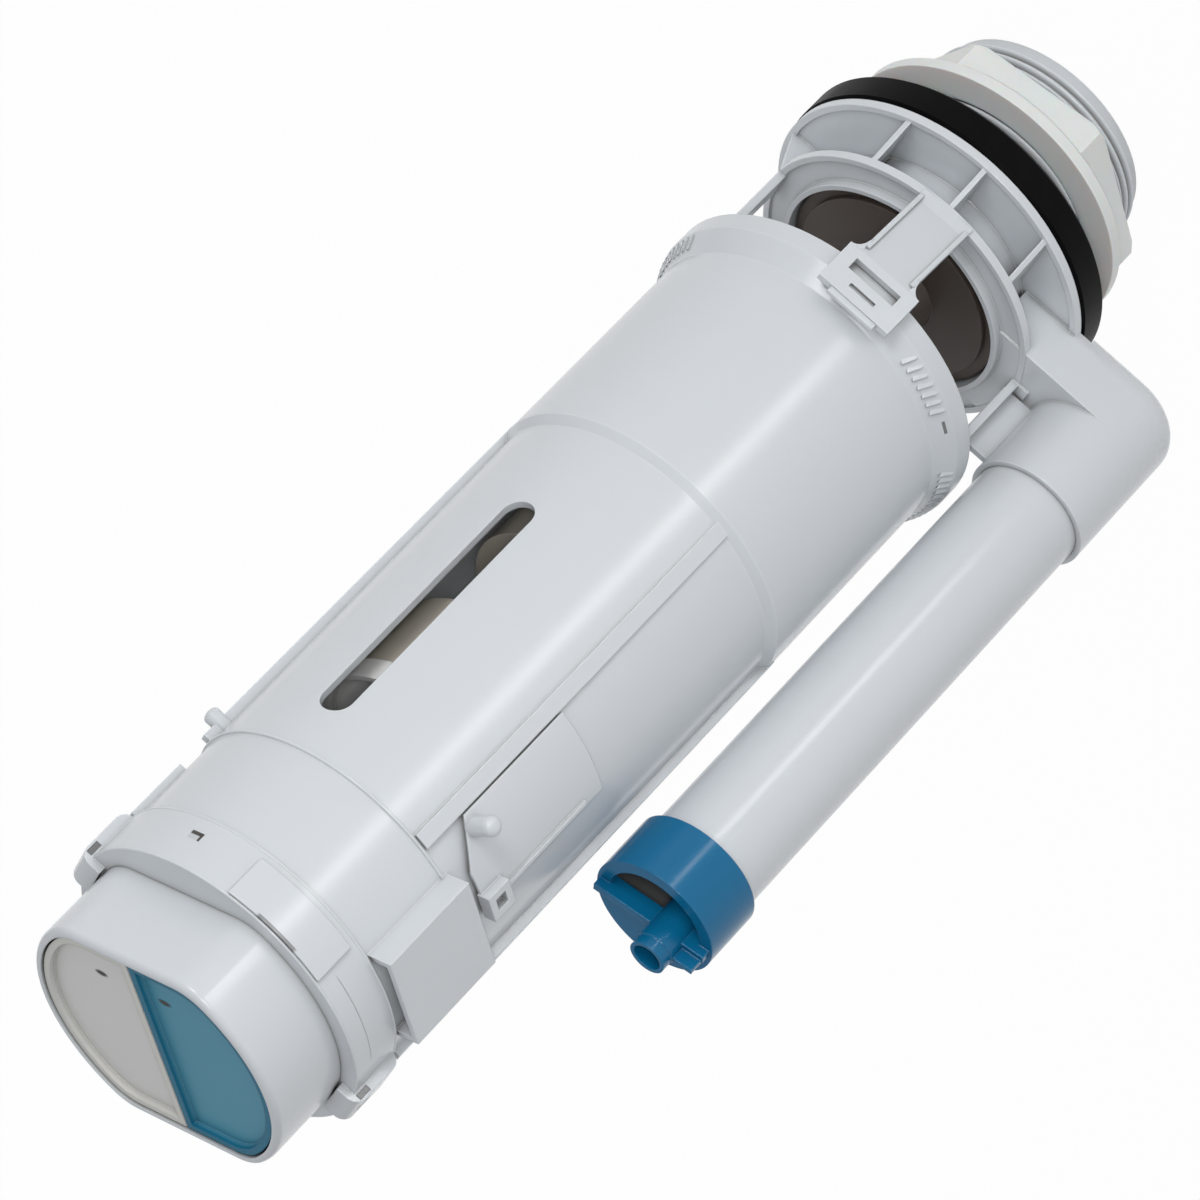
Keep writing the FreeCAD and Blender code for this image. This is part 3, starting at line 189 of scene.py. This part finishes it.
class Finish:
    """A material under construction."""

    def __init__(self, name):
        self.material = bpy.data.materials.new(name)
        self.material.use_nodes = True
        self.tree = self.material.node_tree
        self.tree.nodes.clear()
        place = self.node("ShaderNodeTexCoord")
        self.place = Signal(self, place.outputs["Object"])

    def node(self, kind, settings=None, inputs=None):
        """Adds a node, sets its settings first and then its sockets' values or links."""
        made = self.tree.nodes.new(kind)
        for key, value in (settings or {}).items():
            if key == "stops":
                fill_ramp(made.color_ramp, value)
            else:
                setattr(made, key, value)
        for key, value in (inputs or {}).items():
            if isinstance(value, Signal):
                self.tree.links.new(value.socket, made.inputs[key])
            else:
                made.inputs[key].default_value = value
        return made

    def noise(self, grain, detail=3.0, roughness=0.55, stretch=(1.0, 1.0, 1.0)):
        """Noise whose features are about one grain across, in metres."""
        spread = self.node("ShaderNodeMapping", None,
                           {"Vector": self.place, "Scale": stretch})
        made = self.node("ShaderNodeTexNoise", None,
                         {"Vector": Signal(self, spread.outputs[0]), "Scale": 1.0 / grain,
                          "Detail": detail, "Roughness": roughness})
        return Signal(self, made.outputs["Fac"])

    def ramp(self, value, *stops):
        """A value sent through straight runs between stops of place and height."""
        made = self.node("ShaderNodeValToRGB", {"stops": stops}, {"Fac": value})
        return Signal(self, made.outputs["Color"])

    def mix(self, share, first, second):
        """A colour between two, by a share from 0 to 1."""
        made = self.node("ShaderNodeMix", {"data_type": "RGBA"},
                         {0: share, 6: first, 7: second})
        return Signal(self, made.outputs[2])

    def edge_wear_and_highlight(self, reach):
        """1 where an edge or a corner is nearer than the reach, and 0 on open faces."""
        rounded = self.node("ShaderNodeBevel", {"samples": 4}, {"Radius": reach})
        plain = self.node("ShaderNodeNewGeometry")
        both = self.node("ShaderNodeVectorMath", {"operation": "DOT_PRODUCT"},
                         {0: Signal(self, rounded.outputs[0]),
                          1: Signal(self, plain.outputs["Normal"])})
        return self.ramp(Signal(self, both.outputs["Value"]), (0.90, 1.0), (0.995, 0.0))

    def crease(self, reach):
        """0 deep in a crease or a narrow gap, and 1 on open faces."""
        made = self.node("ShaderNodeAmbientOcclusion", {"samples": 6}, {"Distance": reach})
        return Signal(self, made.outputs["AO"])

    def bump(self, height, strength, distance, under=None):
        """The normal of a relief of that height, over an already bent normal."""
        sockets = {"Strength": strength, "Distance": distance, "Height": height}
        if under is not None:
            sockets["Normal"] = under
        made = self.node("ShaderNodeBump", None, sockets)
        return Signal(self, made.outputs[0])

    def stretched(self, spot):
        """Coordinates in which a small level ellipse about a spot has the radius 1."""
        centred = self.node("ShaderNodeVectorMath", {"operation": "SUBTRACT"},
                            {0: self.place, 1: spot})
        turned = self.node("ShaderNodeMapping", {"vector_type": "TEXTURE"},
                           {"Vector": Signal(self, centred.outputs[0]), "Rotation":
                            (0.0, 0.0, HEAD_TURN), "Scale": THUMB_MARK_SIZE})
        return Signal(self, turned.outputs[0])

    def soft_edges(self, radius):
        """A normal that rounds every sharp edge by that radius."""
        made = self.node("ShaderNodeBevel", {"samples": 8}, {"Radius": radius})
        return Signal(self, made.outputs[0])

    def around(self):
        """The direction about the valve's axis, in degrees from the front toward +X."""
        apart = self.node("ShaderNodeSeparateXYZ", None, {0: self.place})
        across, deep, height = (Signal(self, apart.outputs[i]) for i in range(3))
        turn = across.combined("ARCTAN2", across, deep * -1.0) * math.degrees(1.0)
        return turn, height

    def level_place(self):
        """The X and Y coordinates."""
        apart = self.node("ShaderNodeSeparateXYZ", None, {0: self.place})
        return Signal(self, apart.outputs[0]), Signal(self, apart.outputs[1])

    def patch(self, along, up, middle, half):
        """1 inside a small soft-edged rectangle on two measures, and 0 outside it."""
        far = (along - middle[0]).combined("ABSOLUTE", along - middle[0], 0.0) * (1.0 / half[0])
        high = (up - middle[1]).combined("ABSOLUTE", up - middle[1], 0.0) * (1.0 / half[1])
        edge = far.combined("MAXIMUM", far, high)
        return self.ramp(edge * 0.5, (0.44, 1.0), (0.5, 0.0))

    def shade(self, colour, roughness, normal, constants):
        """Ends the material in one principled shader."""
        sockets = {"Base Color": colour, "Roughness": roughness, "Normal": normal}
        sockets.update(constants)
        shader = self.node("ShaderNodeBsdfPrincipled", None, sockets)
        self.node("ShaderNodeOutputMaterial", None,
                  {"Surface": Signal(self, shader.outputs[0])})
        return self.material


def fill_ramp(ramp, stops):
    """Sets a ramp's stops, each a place with a grey height or a colour."""
    while len(ramp.elements) < len(stops):
        ramp.elements.new(0.5)
    for element, (place, height) in zip(ramp.elements, stops):
        element.position = place
        element.color = height if isinstance(height, tuple) else (height, height, height, 1.0)


def screen_colour(red, green, blue):
    """A colour read from a screen, 0 to 255, as the linear values that shaders take."""
    channels = []
    for channel in (red, green, blue):
        share = channel / 255.0
        channels.append(share / 12.92 if share <= 0.04045 else ((share + 0.055) / 1.055) ** 2.4)
    return (*channels, 1.0)


def moulded_plastic(name, colour, dirt_and_shade, gloss=0.18, grain=0.22 * MM, depth=0.02 * MM,
                    flow=0.035, marks=None, crest=None, **constants):
    """Injection-moulded plastic: faint flow marks, a fine skin grain, pale edges that are
    partly wear and partly a painted highlight, and painted shade with a trace of dirt in
    the creases and corners."""
    finish = Finish(name)
    flow_marks = finish.noise(FLOW_GRAIN, 4.0, 0.6, (1.0, 1.0, 0.35))
    shifted = finish.mix(flow_marks * flow, colour, dirt_and_shade)
    # Painted shade in the creases and corners, made patchy like dirt by the smudge noise.
    crease = finish.ramp(finish.crease(CREASE_REACH), (0.25, 1.0), (0.85, 0.0))
    corner = finish.ramp(finish.crease(CORNER_REACH), (0.30, 0.55), (0.80, 0.0))
    smudge = finish.noise(SMUDGE_GRAIN, 5.0, 0.65)
    dirt_and_crease_shade = finish.mix(crease * (0.25 + 0.35 * smudge) + corner, shifted, dirt_and_shade)
    # Pale edges, partly wear and partly a painted highlight along the rims.
    wear_and_highlight = finish.edge_wear_and_highlight(WEAR_AND_HIGHLIGHT_REACH)
    pale_wear_and_highlight = tuple(min(1.0, 1.20 * channel + 0.03) for channel in colour[:3]) + (1.0,)
    worn_and_edge_lit = finish.mix(wear_and_highlight * WEAR_AND_HIGHLIGHT_SHARE, dirt_and_crease_shade, pale_wear_and_highlight)
    if crest:
        level, rim_colour = crest
        above = finish.ramp((finish.around()[1] - level) * 1000.0, (0.0, 0.0), (0.4, 1.0))
        worn_and_edge_lit = finish.mix(above, worn_and_edge_lit, rim_colour)
    skin = finish.noise(grain, 2.0, 0.5)
    scuffs = finish.noise(SCUFF_GRAIN, 6.0, 0.7, (1.0, 1.0, 0.12))
    roughness = gloss + 0.07 * smudge + 0.04 * scuffs
    relief = finish.bump(skin + 0.3 * scuffs, 0.12, depth, finish.soft_edges(EDGE_ROUND))
    if marks:
        # Sunk marks take the painted dark shade as well as a dent in the relief.
        sunk_and_shaded = marks(finish)
        worn_and_edge_lit = finish.mix(sunk_and_shaded, worn_and_edge_lit, MARK_SHADE)
        relief = finish.bump(sunk_and_shaded * -1.0, 0.8, MARK_DEPTH, relief)
    return finish.shade(worn_and_edge_lit, roughness, relief, constants)


def tower_marks(finish):
    """The slots and engraved lines on the clamp collar and the tower's skirt and the eyes in
    the latch lugs, sunk and painted dark as shade, and painted shade inside the overflow tube."""
    turn, height = finish.around()
    across, deep = finish.level_place()
    aside = across.combined("ABSOLUTE", across, 0.0)
    # The lug eyes: dark patches of painted shade where holes would show.
    eye = finish.patch(aside, height, LUG_EYE, LUG_EYE_HALF)
    sunk_and_shaded = 0.8 * eye * finish.patch(deep, height, LUG_FACE, LUG_FACE_HALF)
    for middle, half, share in TOWER_MARKS:
        sunk_and_shaded = sunk_and_shaded + share * finish.patch(turn, height, middle, half)
    # Painted shade inside the overflow tube, fading in from 40 mm to 100 mm up.
    bore = (across - TUBE_CENTRE).combined("POWER", across - TUBE_CENTRE, 2.0) + deep * deep
    tube_inside_shade = finish.ramp(bore * (0.5 / TUBE_BORE ** 2), (0.505, 1.0), (0.52, 0.0))
    return sunk_and_shaded + 0.8 * tube_inside_shade * finish.ramp(height * 10.0, (0.4, 0.0), (1.0, 1.0))


def thumb_marks(finish):
    """The two small drop-shaped dimples in the push buttons' trays, sunk and painted dark as shade.
    """
    sunk_and_shaded = 0.0
    for spot in THUMB_MARKS:
        reach = finish.node("ShaderNodeVectorMath", {"operation": "DISTANCE"},
                            {0: finish.stretched(spot), 1: (0.0, 0.0, 0.0)})
        sunk_and_shaded = sunk_and_shaded + finish.ramp(Signal(finish, reach.outputs["Value"]), (0.55, 1.0), (1.0, 0.0))
    return sunk_and_shaded


def rubber(name):
    """Black rubber with a dusty bloom and a fine matt skin."""
    finish = Finish(name)
    bloom = finish.noise(7.0 * MM, 5.0, 0.6)
    dust = finish.ramp(bloom, (0.45, 0.0), (0.75, 1.0))
    # Lighter edges on the rubber, partly wear and partly a painted highlight.
    wear_and_highlight = finish.edge_wear_and_highlight(0.6 * MM)
    body = finish.mix(dust * 0.15 + 0.15 * wear_and_highlight, screen_colour(5, 5, 6),
                      screen_colour(30, 30, 32))
    skin = finish.noise(0.35 * MM, 3.0, 0.6)
    return finish.shade(body, 0.32 + 0.2 * bloom, finish.bump(skin, 0.5, 0.05 * MM),
                        {"Specular IOR Level": 0.06})


def bright_steel(name):
    """Drawn steel wire and pins: fine lines along the wire and a little dullness."""
    finish = Finish(name)
    lines = finish.noise(0.3 * MM, 4.0, 0.6, (1.0, 1.0, 0.2))
    tone = finish.mix(lines, screen_colour(150, 152, 156), screen_colour(190, 192, 196))
    return finish.shade(tone, 0.25 + 0.2 * lines, finish.bump(lines, 0.3, 0.02 * MM),
                        {"Metallic": 1.0})


# A darker tone for the flow marks, and the colour of the painted shade and dirt in creases.
DUST_AND_SHADE = screen_colour(122, 120, 116)
FINISHES = {
    "housing": moulded_plastic("housing_plastic", screen_colour(212, 216, 220), DUST_AND_SHADE),
    "tower": moulded_plastic("tower_plastic", screen_colour(211, 215, 219), DUST_AND_SHADE,
                             marks=tower_marks),
    "inner": moulded_plastic("inner_plastic", screen_colour(250, 250, 248), DUST_AND_SHADE),
    "float": moulded_plastic("float_plastic", screen_colour(232, 224, 210), DUST_AND_SHADE),
    "nut": moulded_plastic("nut_plastic", screen_colour(232, 234, 232),
                           screen_colour(188, 188, 182), gloss=0.38,
                           **{"Subsurface Weight": 0.3, "Subsurface Scale": 0.004}),
    "rubber": rubber("gasket_rubber"),
    "seal": moulded_plastic("seal_rubber", screen_colour(94, 82, 74),
                            screen_colour(70, 62, 58), gloss=0.4),
    "dark": moulded_plastic("dark_plastic", screen_colour(80, 70, 64),
                            screen_colour(52, 44, 40), gloss=0.34),
    "cap": moulded_plastic("cap_plastic", screen_colour(8, 104, 148),
                           screen_colour(8, 70, 106), gloss=0.14, flow=0.08,
                           **{"Specular IOR Level": 0.3}),
    "blue_button": moulded_plastic("blue_button_plastic", screen_colour(78, 149, 173),
                                   screen_colour(30, 88, 116), gloss=0.36, flow=0.08,
                                   marks=thumb_marks,
                                   crest=(RIM_LEVEL, screen_colour(14, 108, 138))),
    "grey_button": moulded_plastic("grey_button_plastic", screen_colour(218, 218, 216),
                                   screen_colour(140, 134, 122), gloss=0.36,
                                   marks=thumb_marks,
                                   crest=(RIM_LEVEL, screen_colour(212, 211, 206))),
    "steel": bright_steel("spring_steel"),
}


def dress_nodes():
    """Gives every node of the frame the finish of its record slot."""
    for part in frame["record"]["subparts"]:
        item = frame["nodes"][part["node"]]
        item.data.materials.clear()
        item.data.materials.append(FINISHES[part["material_slot"]])


# Added pieces

def add_piece(name, points, faces, body, slot):
    """A mesh piece that rides on a body and wears the finish of a slot."""
    mesh = bpy.data.meshes.new(name)
    mesh.from_pydata(points.reshape(-1, 3).tolist(), [], faces.tolist())
    mesh.materials.append(FINISHES[slot])
    piece = bpy.data.objects.new(name, mesh)
    bpy.context.scene.collection.objects.link(piece)
    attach(piece, body)
    return piece


def carried_profile(path, outward, upward, profile):
    """A closed profile carried along a path: point = path + u * outward + v * upward, with
    one u and v for every profile point, and with fans that close both ends."""
    path, outward, upward = (np.asarray(part, float) for part in (path, outward, upward))
    profile = np.broadcast_to(np.asarray(profile, float), (len(path),) + np.shape(profile)[-2:])
    points = (path[:, None, :] + profile[:, :, :1] * outward[:, None, :]
              + profile[:, :, 1:] * upward[:, None, :])
    steps, corners = points.shape[:2]
    start = np.arange(steps - 1)[:, None] * corners
    here = np.arange(corners)[None, :]
    after = (here + 1) % corners
    sides = np.stack([start + here, start + after, start + corners + after,
                      start + corners + here], axis=-1).reshape(-1, 4)
    return points, sides


def close_ends(piece):
    """Fills the two open ends and turns every face outward."""
    work = bmesh.new()
    work.from_mesh(piece.data)
    bmesh.ops.holes_fill(work, edges=work.edges, sides=0)
    bmesh.ops.recalc_face_normals(work, faces=work.faces)
    work.to_mesh(piece.data)
    work.free()


def make_rib(name, points, outward, upward, width, height, body, slot):
    """A straight or bent rib of a rounded section along a few points."""
    section = [(-0.3 * height, -0.5 * width), (0.7 * height, -0.5 * width),
               (height, -0.3 * width), (height, 0.3 * width),
               (0.7 * height, 0.5 * width), (-0.3 * height, 0.5 * width)]
    outward = np.broadcast_to(outward, (len(points), 3))
    upward = np.broadcast_to(upward, (len(points), 3))
    grid, faces = carried_profile(points, outward, upward, section)
    piece = add_piece(name, grid, faces, body, slot)
    close_ends(piece)


def make_spigot_thread():
    """The thread: radius = root + height * ramp(turns), z rising by one pitch each turn, as
    a trapezoid ridge carried along the helix."""
    start = SPIGOT_END + 0.9 * THREAD_PITCH
    turns = (GASKET_TOP - 1.5 * MM - start) / THREAD_PITCH
    turn = np.linspace(0.0, turns, int(turns * STEPS_PER_TURN))
    angle = 2.0 * np.pi * turn
    outward = np.stack([np.cos(angle), np.sin(angle), np.zeros_like(angle)], axis=-1)
    path = outward * THREAD_ROOT
    path[:, 2] = start + THREAD_PITCH * turn
    height = (THREAD_CREST - THREAD_ROOT) * np.clip(turn / THREAD_RUN_IN, 0.02, 1.0)
    ridge = np.array(THREAD_SECTION)
    profile = np.stack([ridge[None, :, 0] * height[:, None],
                        np.broadcast_to(ridge[None, :, 1] * THREAD_PITCH,
                                        (len(turn), len(ridge)))], axis=-1)
    upward = np.broadcast_to((0.0, 0.0, 1.0), path.shape)
    grid, faces = carried_profile(path, outward, upward, profile)
    piece = add_piece("spigot_thread", grid, faces, "frame", "housing")
    close_ends(piece)


def merged_copy(node, name, slot):
    """A node's mesh under a new name, with the corners that its triangles share made one."""
    mesh = frame["nodes"][node].data.copy()
    work = bmesh.new()
    work.from_mesh(mesh)
    bmesh.ops.remove_doubles(work, verts=work.verts, dist=0.001 * MM)
    work.to_mesh(mesh)
    work.free()
    mesh.name = name
    mesh.materials.clear()
    mesh.materials.append(FINISHES[slot])
    return mesh


def place_copy(mesh, node, body):
    """Shows a merged copy in the place of its node."""
    piece = bpy.data.objects.new(mesh.name, mesh)
    bpy.context.scene.collection.objects.link(piece)
    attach(piece, body)
    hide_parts(node)
    return piece


def make_button_coils():
    """The two springs, each a merged copy of its node in steel, shown in its place."""
    for side in ("full", "half"):
        node = side + "_button_spring"
        coil = place_copy(merged_copy(node, side + "_button_coil", "steel"), node, "frame")
        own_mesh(coil)


def make_threaded_housing():
    """The housing with its spigot turned down to the thread's root."""
    mesh = merged_copy("base_housing", "threaded_housing", "housing")
    points = np.empty(len(mesh.vertices) * 3)
    mesh.vertices.foreach_get("co", points)
    points = points.reshape(-1, 3)
    radius = np.hypot(points[:, 0], points[:, 1])
    spigot = (radius > SPIGOT_INSIDE) & (radius < THREAD_CREST + 0.05 * MM)
    spigot &= points[:, 2] < GASKET_TOP + 0.01 * MM
    points[spigot, :2] *= (THREAD_ROOT / radius[spigot])[:, None]
    mesh.vertices.foreach_set("co", points.ravel())
    place_copy(mesh, "base_housing", "frame")


def make_clip_ribs():
    """The raised borders of the release clip's arm."""
    foot = np.array(CLIP_FOOT)
    top = np.array(CLIP_TOP)
    along = (top - foot) / np.linalg.norm(top - foot)
    outward = np.cross((1.0, 0.0, 0.0), along)
    outward = -outward if outward[1] > 0.0 else outward
    for name, side in (("clip_rib_left", CLIP_RIB_SIDE), ("clip_rib_right", -CLIP_RIB_SIDE)):
        shift = np.array((side, 0.0, 0.0))
        path = np.array([foot + shift, top + shift])
        make_rib(name, path, outward, (1.0, 0.0, 0.0), *CLIP_RIB_SIZE, "frame", "housing")


def make_plate(name, outline, front, back, body, slot):
    """A flat plate across the front: points (x, z) of its outline at two depths y."""
    outline = np.asarray(outline, float)
    layers = [np.column_stack([outline[:, 0], np.full(len(outline), depth), outline[:, 1]])
              for depth in (front, back)]
    count = len(outline)
    here = np.arange(count)
    after = (here + 1) % count
    sides = np.stack([here, after, after + count, here + count], axis=-1)
    piece = add_piece(name, np.concatenate(layers), sides, body, slot)
    close_ends(piece)
    rounding = piece.modifiers.new("rounding", "BEVEL")
    rounding.width = PLATE_ROUND
    rounding.segments = 3


def make_clip_details():
    """The concave shoulders between the clip's arm and head, and the tab at its end."""
    bend = np.linspace(0.0, 0.5 * np.pi, 9)
    low, start, high = SHOULDER_LEVELS
    curve = np.column_stack([CLIP_HEAD_SIDE - SHOULDER_REACH[0] * np.cos(bend),
                             start - SHOULDER_REACH[1] * (1.0 - np.sin(bend))])
    for name, side in (("clip_shoulder_left", 1.0), ("clip_shoulder_right", -1.0)):
        outline = np.concatenate([[(CLIP_ARM_SIDE, high), (CLIP_ARM_SIDE, low)], curve[1:],
                                  [(CLIP_HEAD_SIDE, high)]])
        outline[:, 0] *= side
        make_plate(name, outline, SHOULDER_FRONT, PLATE_BACK, "frame", "housing")
    left, right = TAB_SIDES
    foot, top = TAB_LEVELS
    make_plate("clip_tab", [(left, foot), (right, foot), (right, top), (left, top)],
               TAB_FRONT, PLATE_BACK, "frame", "housing")


def make_edge_beads():
    """Round beads that soften the tower's ridge and the clamp collar's rims: distance from
    the axis = radius + size * cos(v) and height = level + size * sin(v), at every turn u."""
    turn = np.linspace(0.0, 2.0 * np.pi, 240, endpoint=False)[:, None]
    lap = np.linspace(0.0, 2.0 * np.pi, 10, endpoint=False)[None, :]
    corner = np.arange(turn.size * lap.size).reshape(turn.size, lap.size)
    ahead = np.roll(corner, -1, axis=0)
    faces = np.stack([corner, ahead, np.roll(ahead, -1, axis=1), np.roll(corner, -1, axis=1)],
                     axis=-1).reshape(-1, 4)
    for name, radius, level in EDGE_BEADS:
        reach = radius + BEAD_SIZE * np.cos(lap)
        rise = np.broadcast_to(level + BEAD_SIZE * np.sin(lap), corner.shape)
        points = np.stack([reach * np.cos(turn), reach * np.sin(turn), rise], axis=-1)
        piece = add_piece(name, points, faces, "frame", "tower")
        piece.data.shade_smooth()


def make_peg_tips():
    """The domed ends of the pegs, as shrinking circles along each peg's axis: reach = dome
    * sin(rise) and radius = peg radius * cos(rise), with rise from 0 to nearly 90 degrees."""
    rise = np.concatenate([[0.0], np.linspace(0.0, 1.54, 12)])
    around = np.linspace(0.0, 2.0 * np.pi, 40, endpoint=False)
    circle = np.stack([np.cos(around), np.sin(around)], axis=-1)
    for name, end, aim, radius, dome, body in PEG_TIPS:
        axis = np.array((math.sin(aim), -math.cos(aim), 0.0))
        reach = dome * np.sin(rise)
        reach[0] = -0.3 * MM
        path = np.asarray(end) + reach[:, None] * axis
        outward = np.broadcast_to(np.cross(axis, (0.0, 0.0, 1.0)), path.shape)
        upward = np.broadcast_to((0.0, 0.0, 1.0), path.shape)
        profile = (0.99 * radius * np.cos(rise))[:, None, None] * circle
        grid, faces = carried_profile(path, outward, upward, profile)
        piece = add_piece(name, grid, faces, body, "tower")
        close_ends(piece)
        piece.data.shade_smooth()


# Stage, lamps and camera

def make_floor():
    """A pale floor that shows white to the camera, keeps a soft shadow and is clear from
    below, so that the underside can be looked at."""
    finish = Finish("studio_floor")
    grain = finish.noise(40.0 * MM, 4.0, 0.6)
    path = finish.node("ShaderNodeLightPath")
    seen = (Signal(finish, path.outputs["Is Camera Ray"])
            + Signal(finish, path.outputs["Is Glossy Ray"])
            + Signal(finish, path.outputs["Is Transmission Ray"]))
    plain = finish.node("ShaderNodeBsdfDiffuse", None,
                        {"Color": finish.mix(grain, (0.78, 0.78, 0.78, 1.0),
                                             (0.82, 0.82, 0.82, 1.0))})
    white = finish.node("ShaderNodeEmission", None, {"Color": (1.0, 1.0, 1.0, 1.0)})
    both = finish.node("ShaderNodeMixShader", None,
                       {0: finish.ramp(seen, (0.0, 0.0), (1.0, 0.97)),
                        1: Signal(finish, plain.outputs[0]), 2: Signal(finish, white.outputs[0])})
    side = finish.node("ShaderNodeNewGeometry")
    clear = finish.node("ShaderNodeBsdfTransparent")
    shown = finish.node("ShaderNodeMixShader", None,
                        {0: Signal(finish, side.outputs["Backfacing"]),
                         1: Signal(finish, both.outputs[0]), 2: Signal(finish, clear.outputs[0])})
    finish.node("ShaderNodeOutputMaterial", None, {"Surface": Signal(finish, shown.outputs[0])})
    mesh = bpy.data.meshes.new("floor")
    corners = [(across * FLOOR_HALF, deep * FLOOR_HALF, FLOOR_LEVEL)
               for across, deep in ((-1, -1), (1, -1), (1, 1), (-1, 1))]
    mesh.from_pydata(corners, [], [(0, 1, 2, 3)])
    floor = bpy.data.objects.new("floor", mesh)
    floor.data.materials.append(finish.material)
    bpy.context.scene.collection.objects.link(floor)


def make_world(ambient):
    """White to the camera, and a plain even light for everything else."""
    world = bpy.data.worlds.new("studio")
    bpy.context.scene.world = world
    world.use_nodes = True
    tree = world.node_tree
    tree.nodes.clear()
    path = tree.nodes.new("ShaderNodeLightPath")
    dim = tree.nodes.new("ShaderNodeBackground")
    dim.inputs["Strength"].default_value = ambient
    dim.inputs["Color"].default_value = (0.97, 0.985, 1.0, 1.0)
    white = tree.nodes.new("ShaderNodeBackground")
    white.inputs["Color"].default_value = (1.0, 1.0, 1.0, 1.0)
    mixed = tree.nodes.new("ShaderNodeMixShader")
    out = tree.nodes.new("ShaderNodeOutputWorld")
    tree.links.new(path.outputs["Is Camera Ray"], mixed.inputs[0])
    tree.links.new(dim.outputs[0], mixed.inputs[1])
    tree.links.new(white.outputs[0], mixed.inputs[2])
    tree.links.new(mixed.outputs[0], out.inputs["Surface"])


def make_lamp(name, direction, distance, across, level, glossy=True):
    """A square soft lamp that lights a pale face square on by about the given level."""
    light = bpy.data.lights.new(name, "AREA")
    light.size = across
    light.energy = level * math.pi ** 2 * distance ** 2
    lamp = bpy.data.objects.new(name, light)
    towards = Vector(direction).normalized()
    lamp.location = VIEW_CENTRE + towards * distance
    lamp.rotation_euler = towards.to_track_quat("Z", "Y").to_euler()
    lamp.visible_glossy = glossy
    bpy.context.scene.collection.objects.link(lamp)


def make_strip(level):
    """A narrow upright lamp close in front that only shows as a streak on glossy faces."""
    light = bpy.data.lights.new("strip", "AREA")
    light.shape = "RECTANGLE"
    light.size = STRIP_SIZE[0]
    light.size_y = STRIP_SIZE[1]
    light.energy = level * light.size * light.size_y
    lamp = bpy.data.objects.new("strip", light)
    lamp.location = STRIP_PLACE
    lamp.rotation_euler = (math.radians(90.0), 0.0, 0.0)
    lamp.visible_camera = False
    lamp.visible_diffuse = False
    bpy.context.scene.collection.objects.link(lamp)


def make_camera():
    """The photograph's camera, rolled so that the valve lies across the frame."""
    back = Vector((-math.sin(VIEW_TURN) * math.cos(VIEW_RISE),
                   -math.cos(VIEW_TURN) * math.cos(VIEW_RISE), math.sin(VIEW_RISE)))
    level = Vector((math.cos(VIEW_TURN), -math.sin(VIEW_TURN), 0.0))
    upright = back.cross(level)
    across = math.cos(VIEW_ROLL) * level - math.sin(VIEW_ROLL) * upright
    above = math.sin(VIEW_ROLL) * level + math.cos(VIEW_ROLL) * upright
    lens = bpy.data.cameras.new("camera")
    lens.sensor_width = SENSOR_WIDTH
    lens.lens = LENS
    lens.clip_start = 0.01
    lens.clip_end = 50.0
    camera = bpy.data.objects.new("camera", lens)
    turn = Matrix((across, above, back)).transposed().to_4x4()
    camera.matrix_world = Matrix.Translation(VIEW_CENTRE + back * VIEW_DISTANCE) @ turn
    bpy.context.scene.collection.objects.link(camera)
    bpy.context.scene.camera = camera


make_floor()
make_world(ambient=0.43)
make_lamp("key", (0.42, -0.88, 0.22), distance=1.2, across=0.4, level=0.28)
make_lamp("fill", (-0.75, -0.6, 0.25), distance=1.6, across=1.0, level=0.05)
make_lamp("front", (-0.07, -0.87, 0.48), distance=1.4, across=0.2, level=0.22)
make_lamp("back", (0.25, 0.9, 0.35), distance=1.6, across=1.0, level=0.26, glossy=False)
make_strip(level=24.0)
make_camera()
bpy.context.scene.view_settings.view_transform = "Standard"
dress_nodes()
make_threaded_housing()
make_button_coils()
make_spigot_thread()
make_clip_ribs()
make_clip_details()
make_edge_beads()
make_peg_tips()
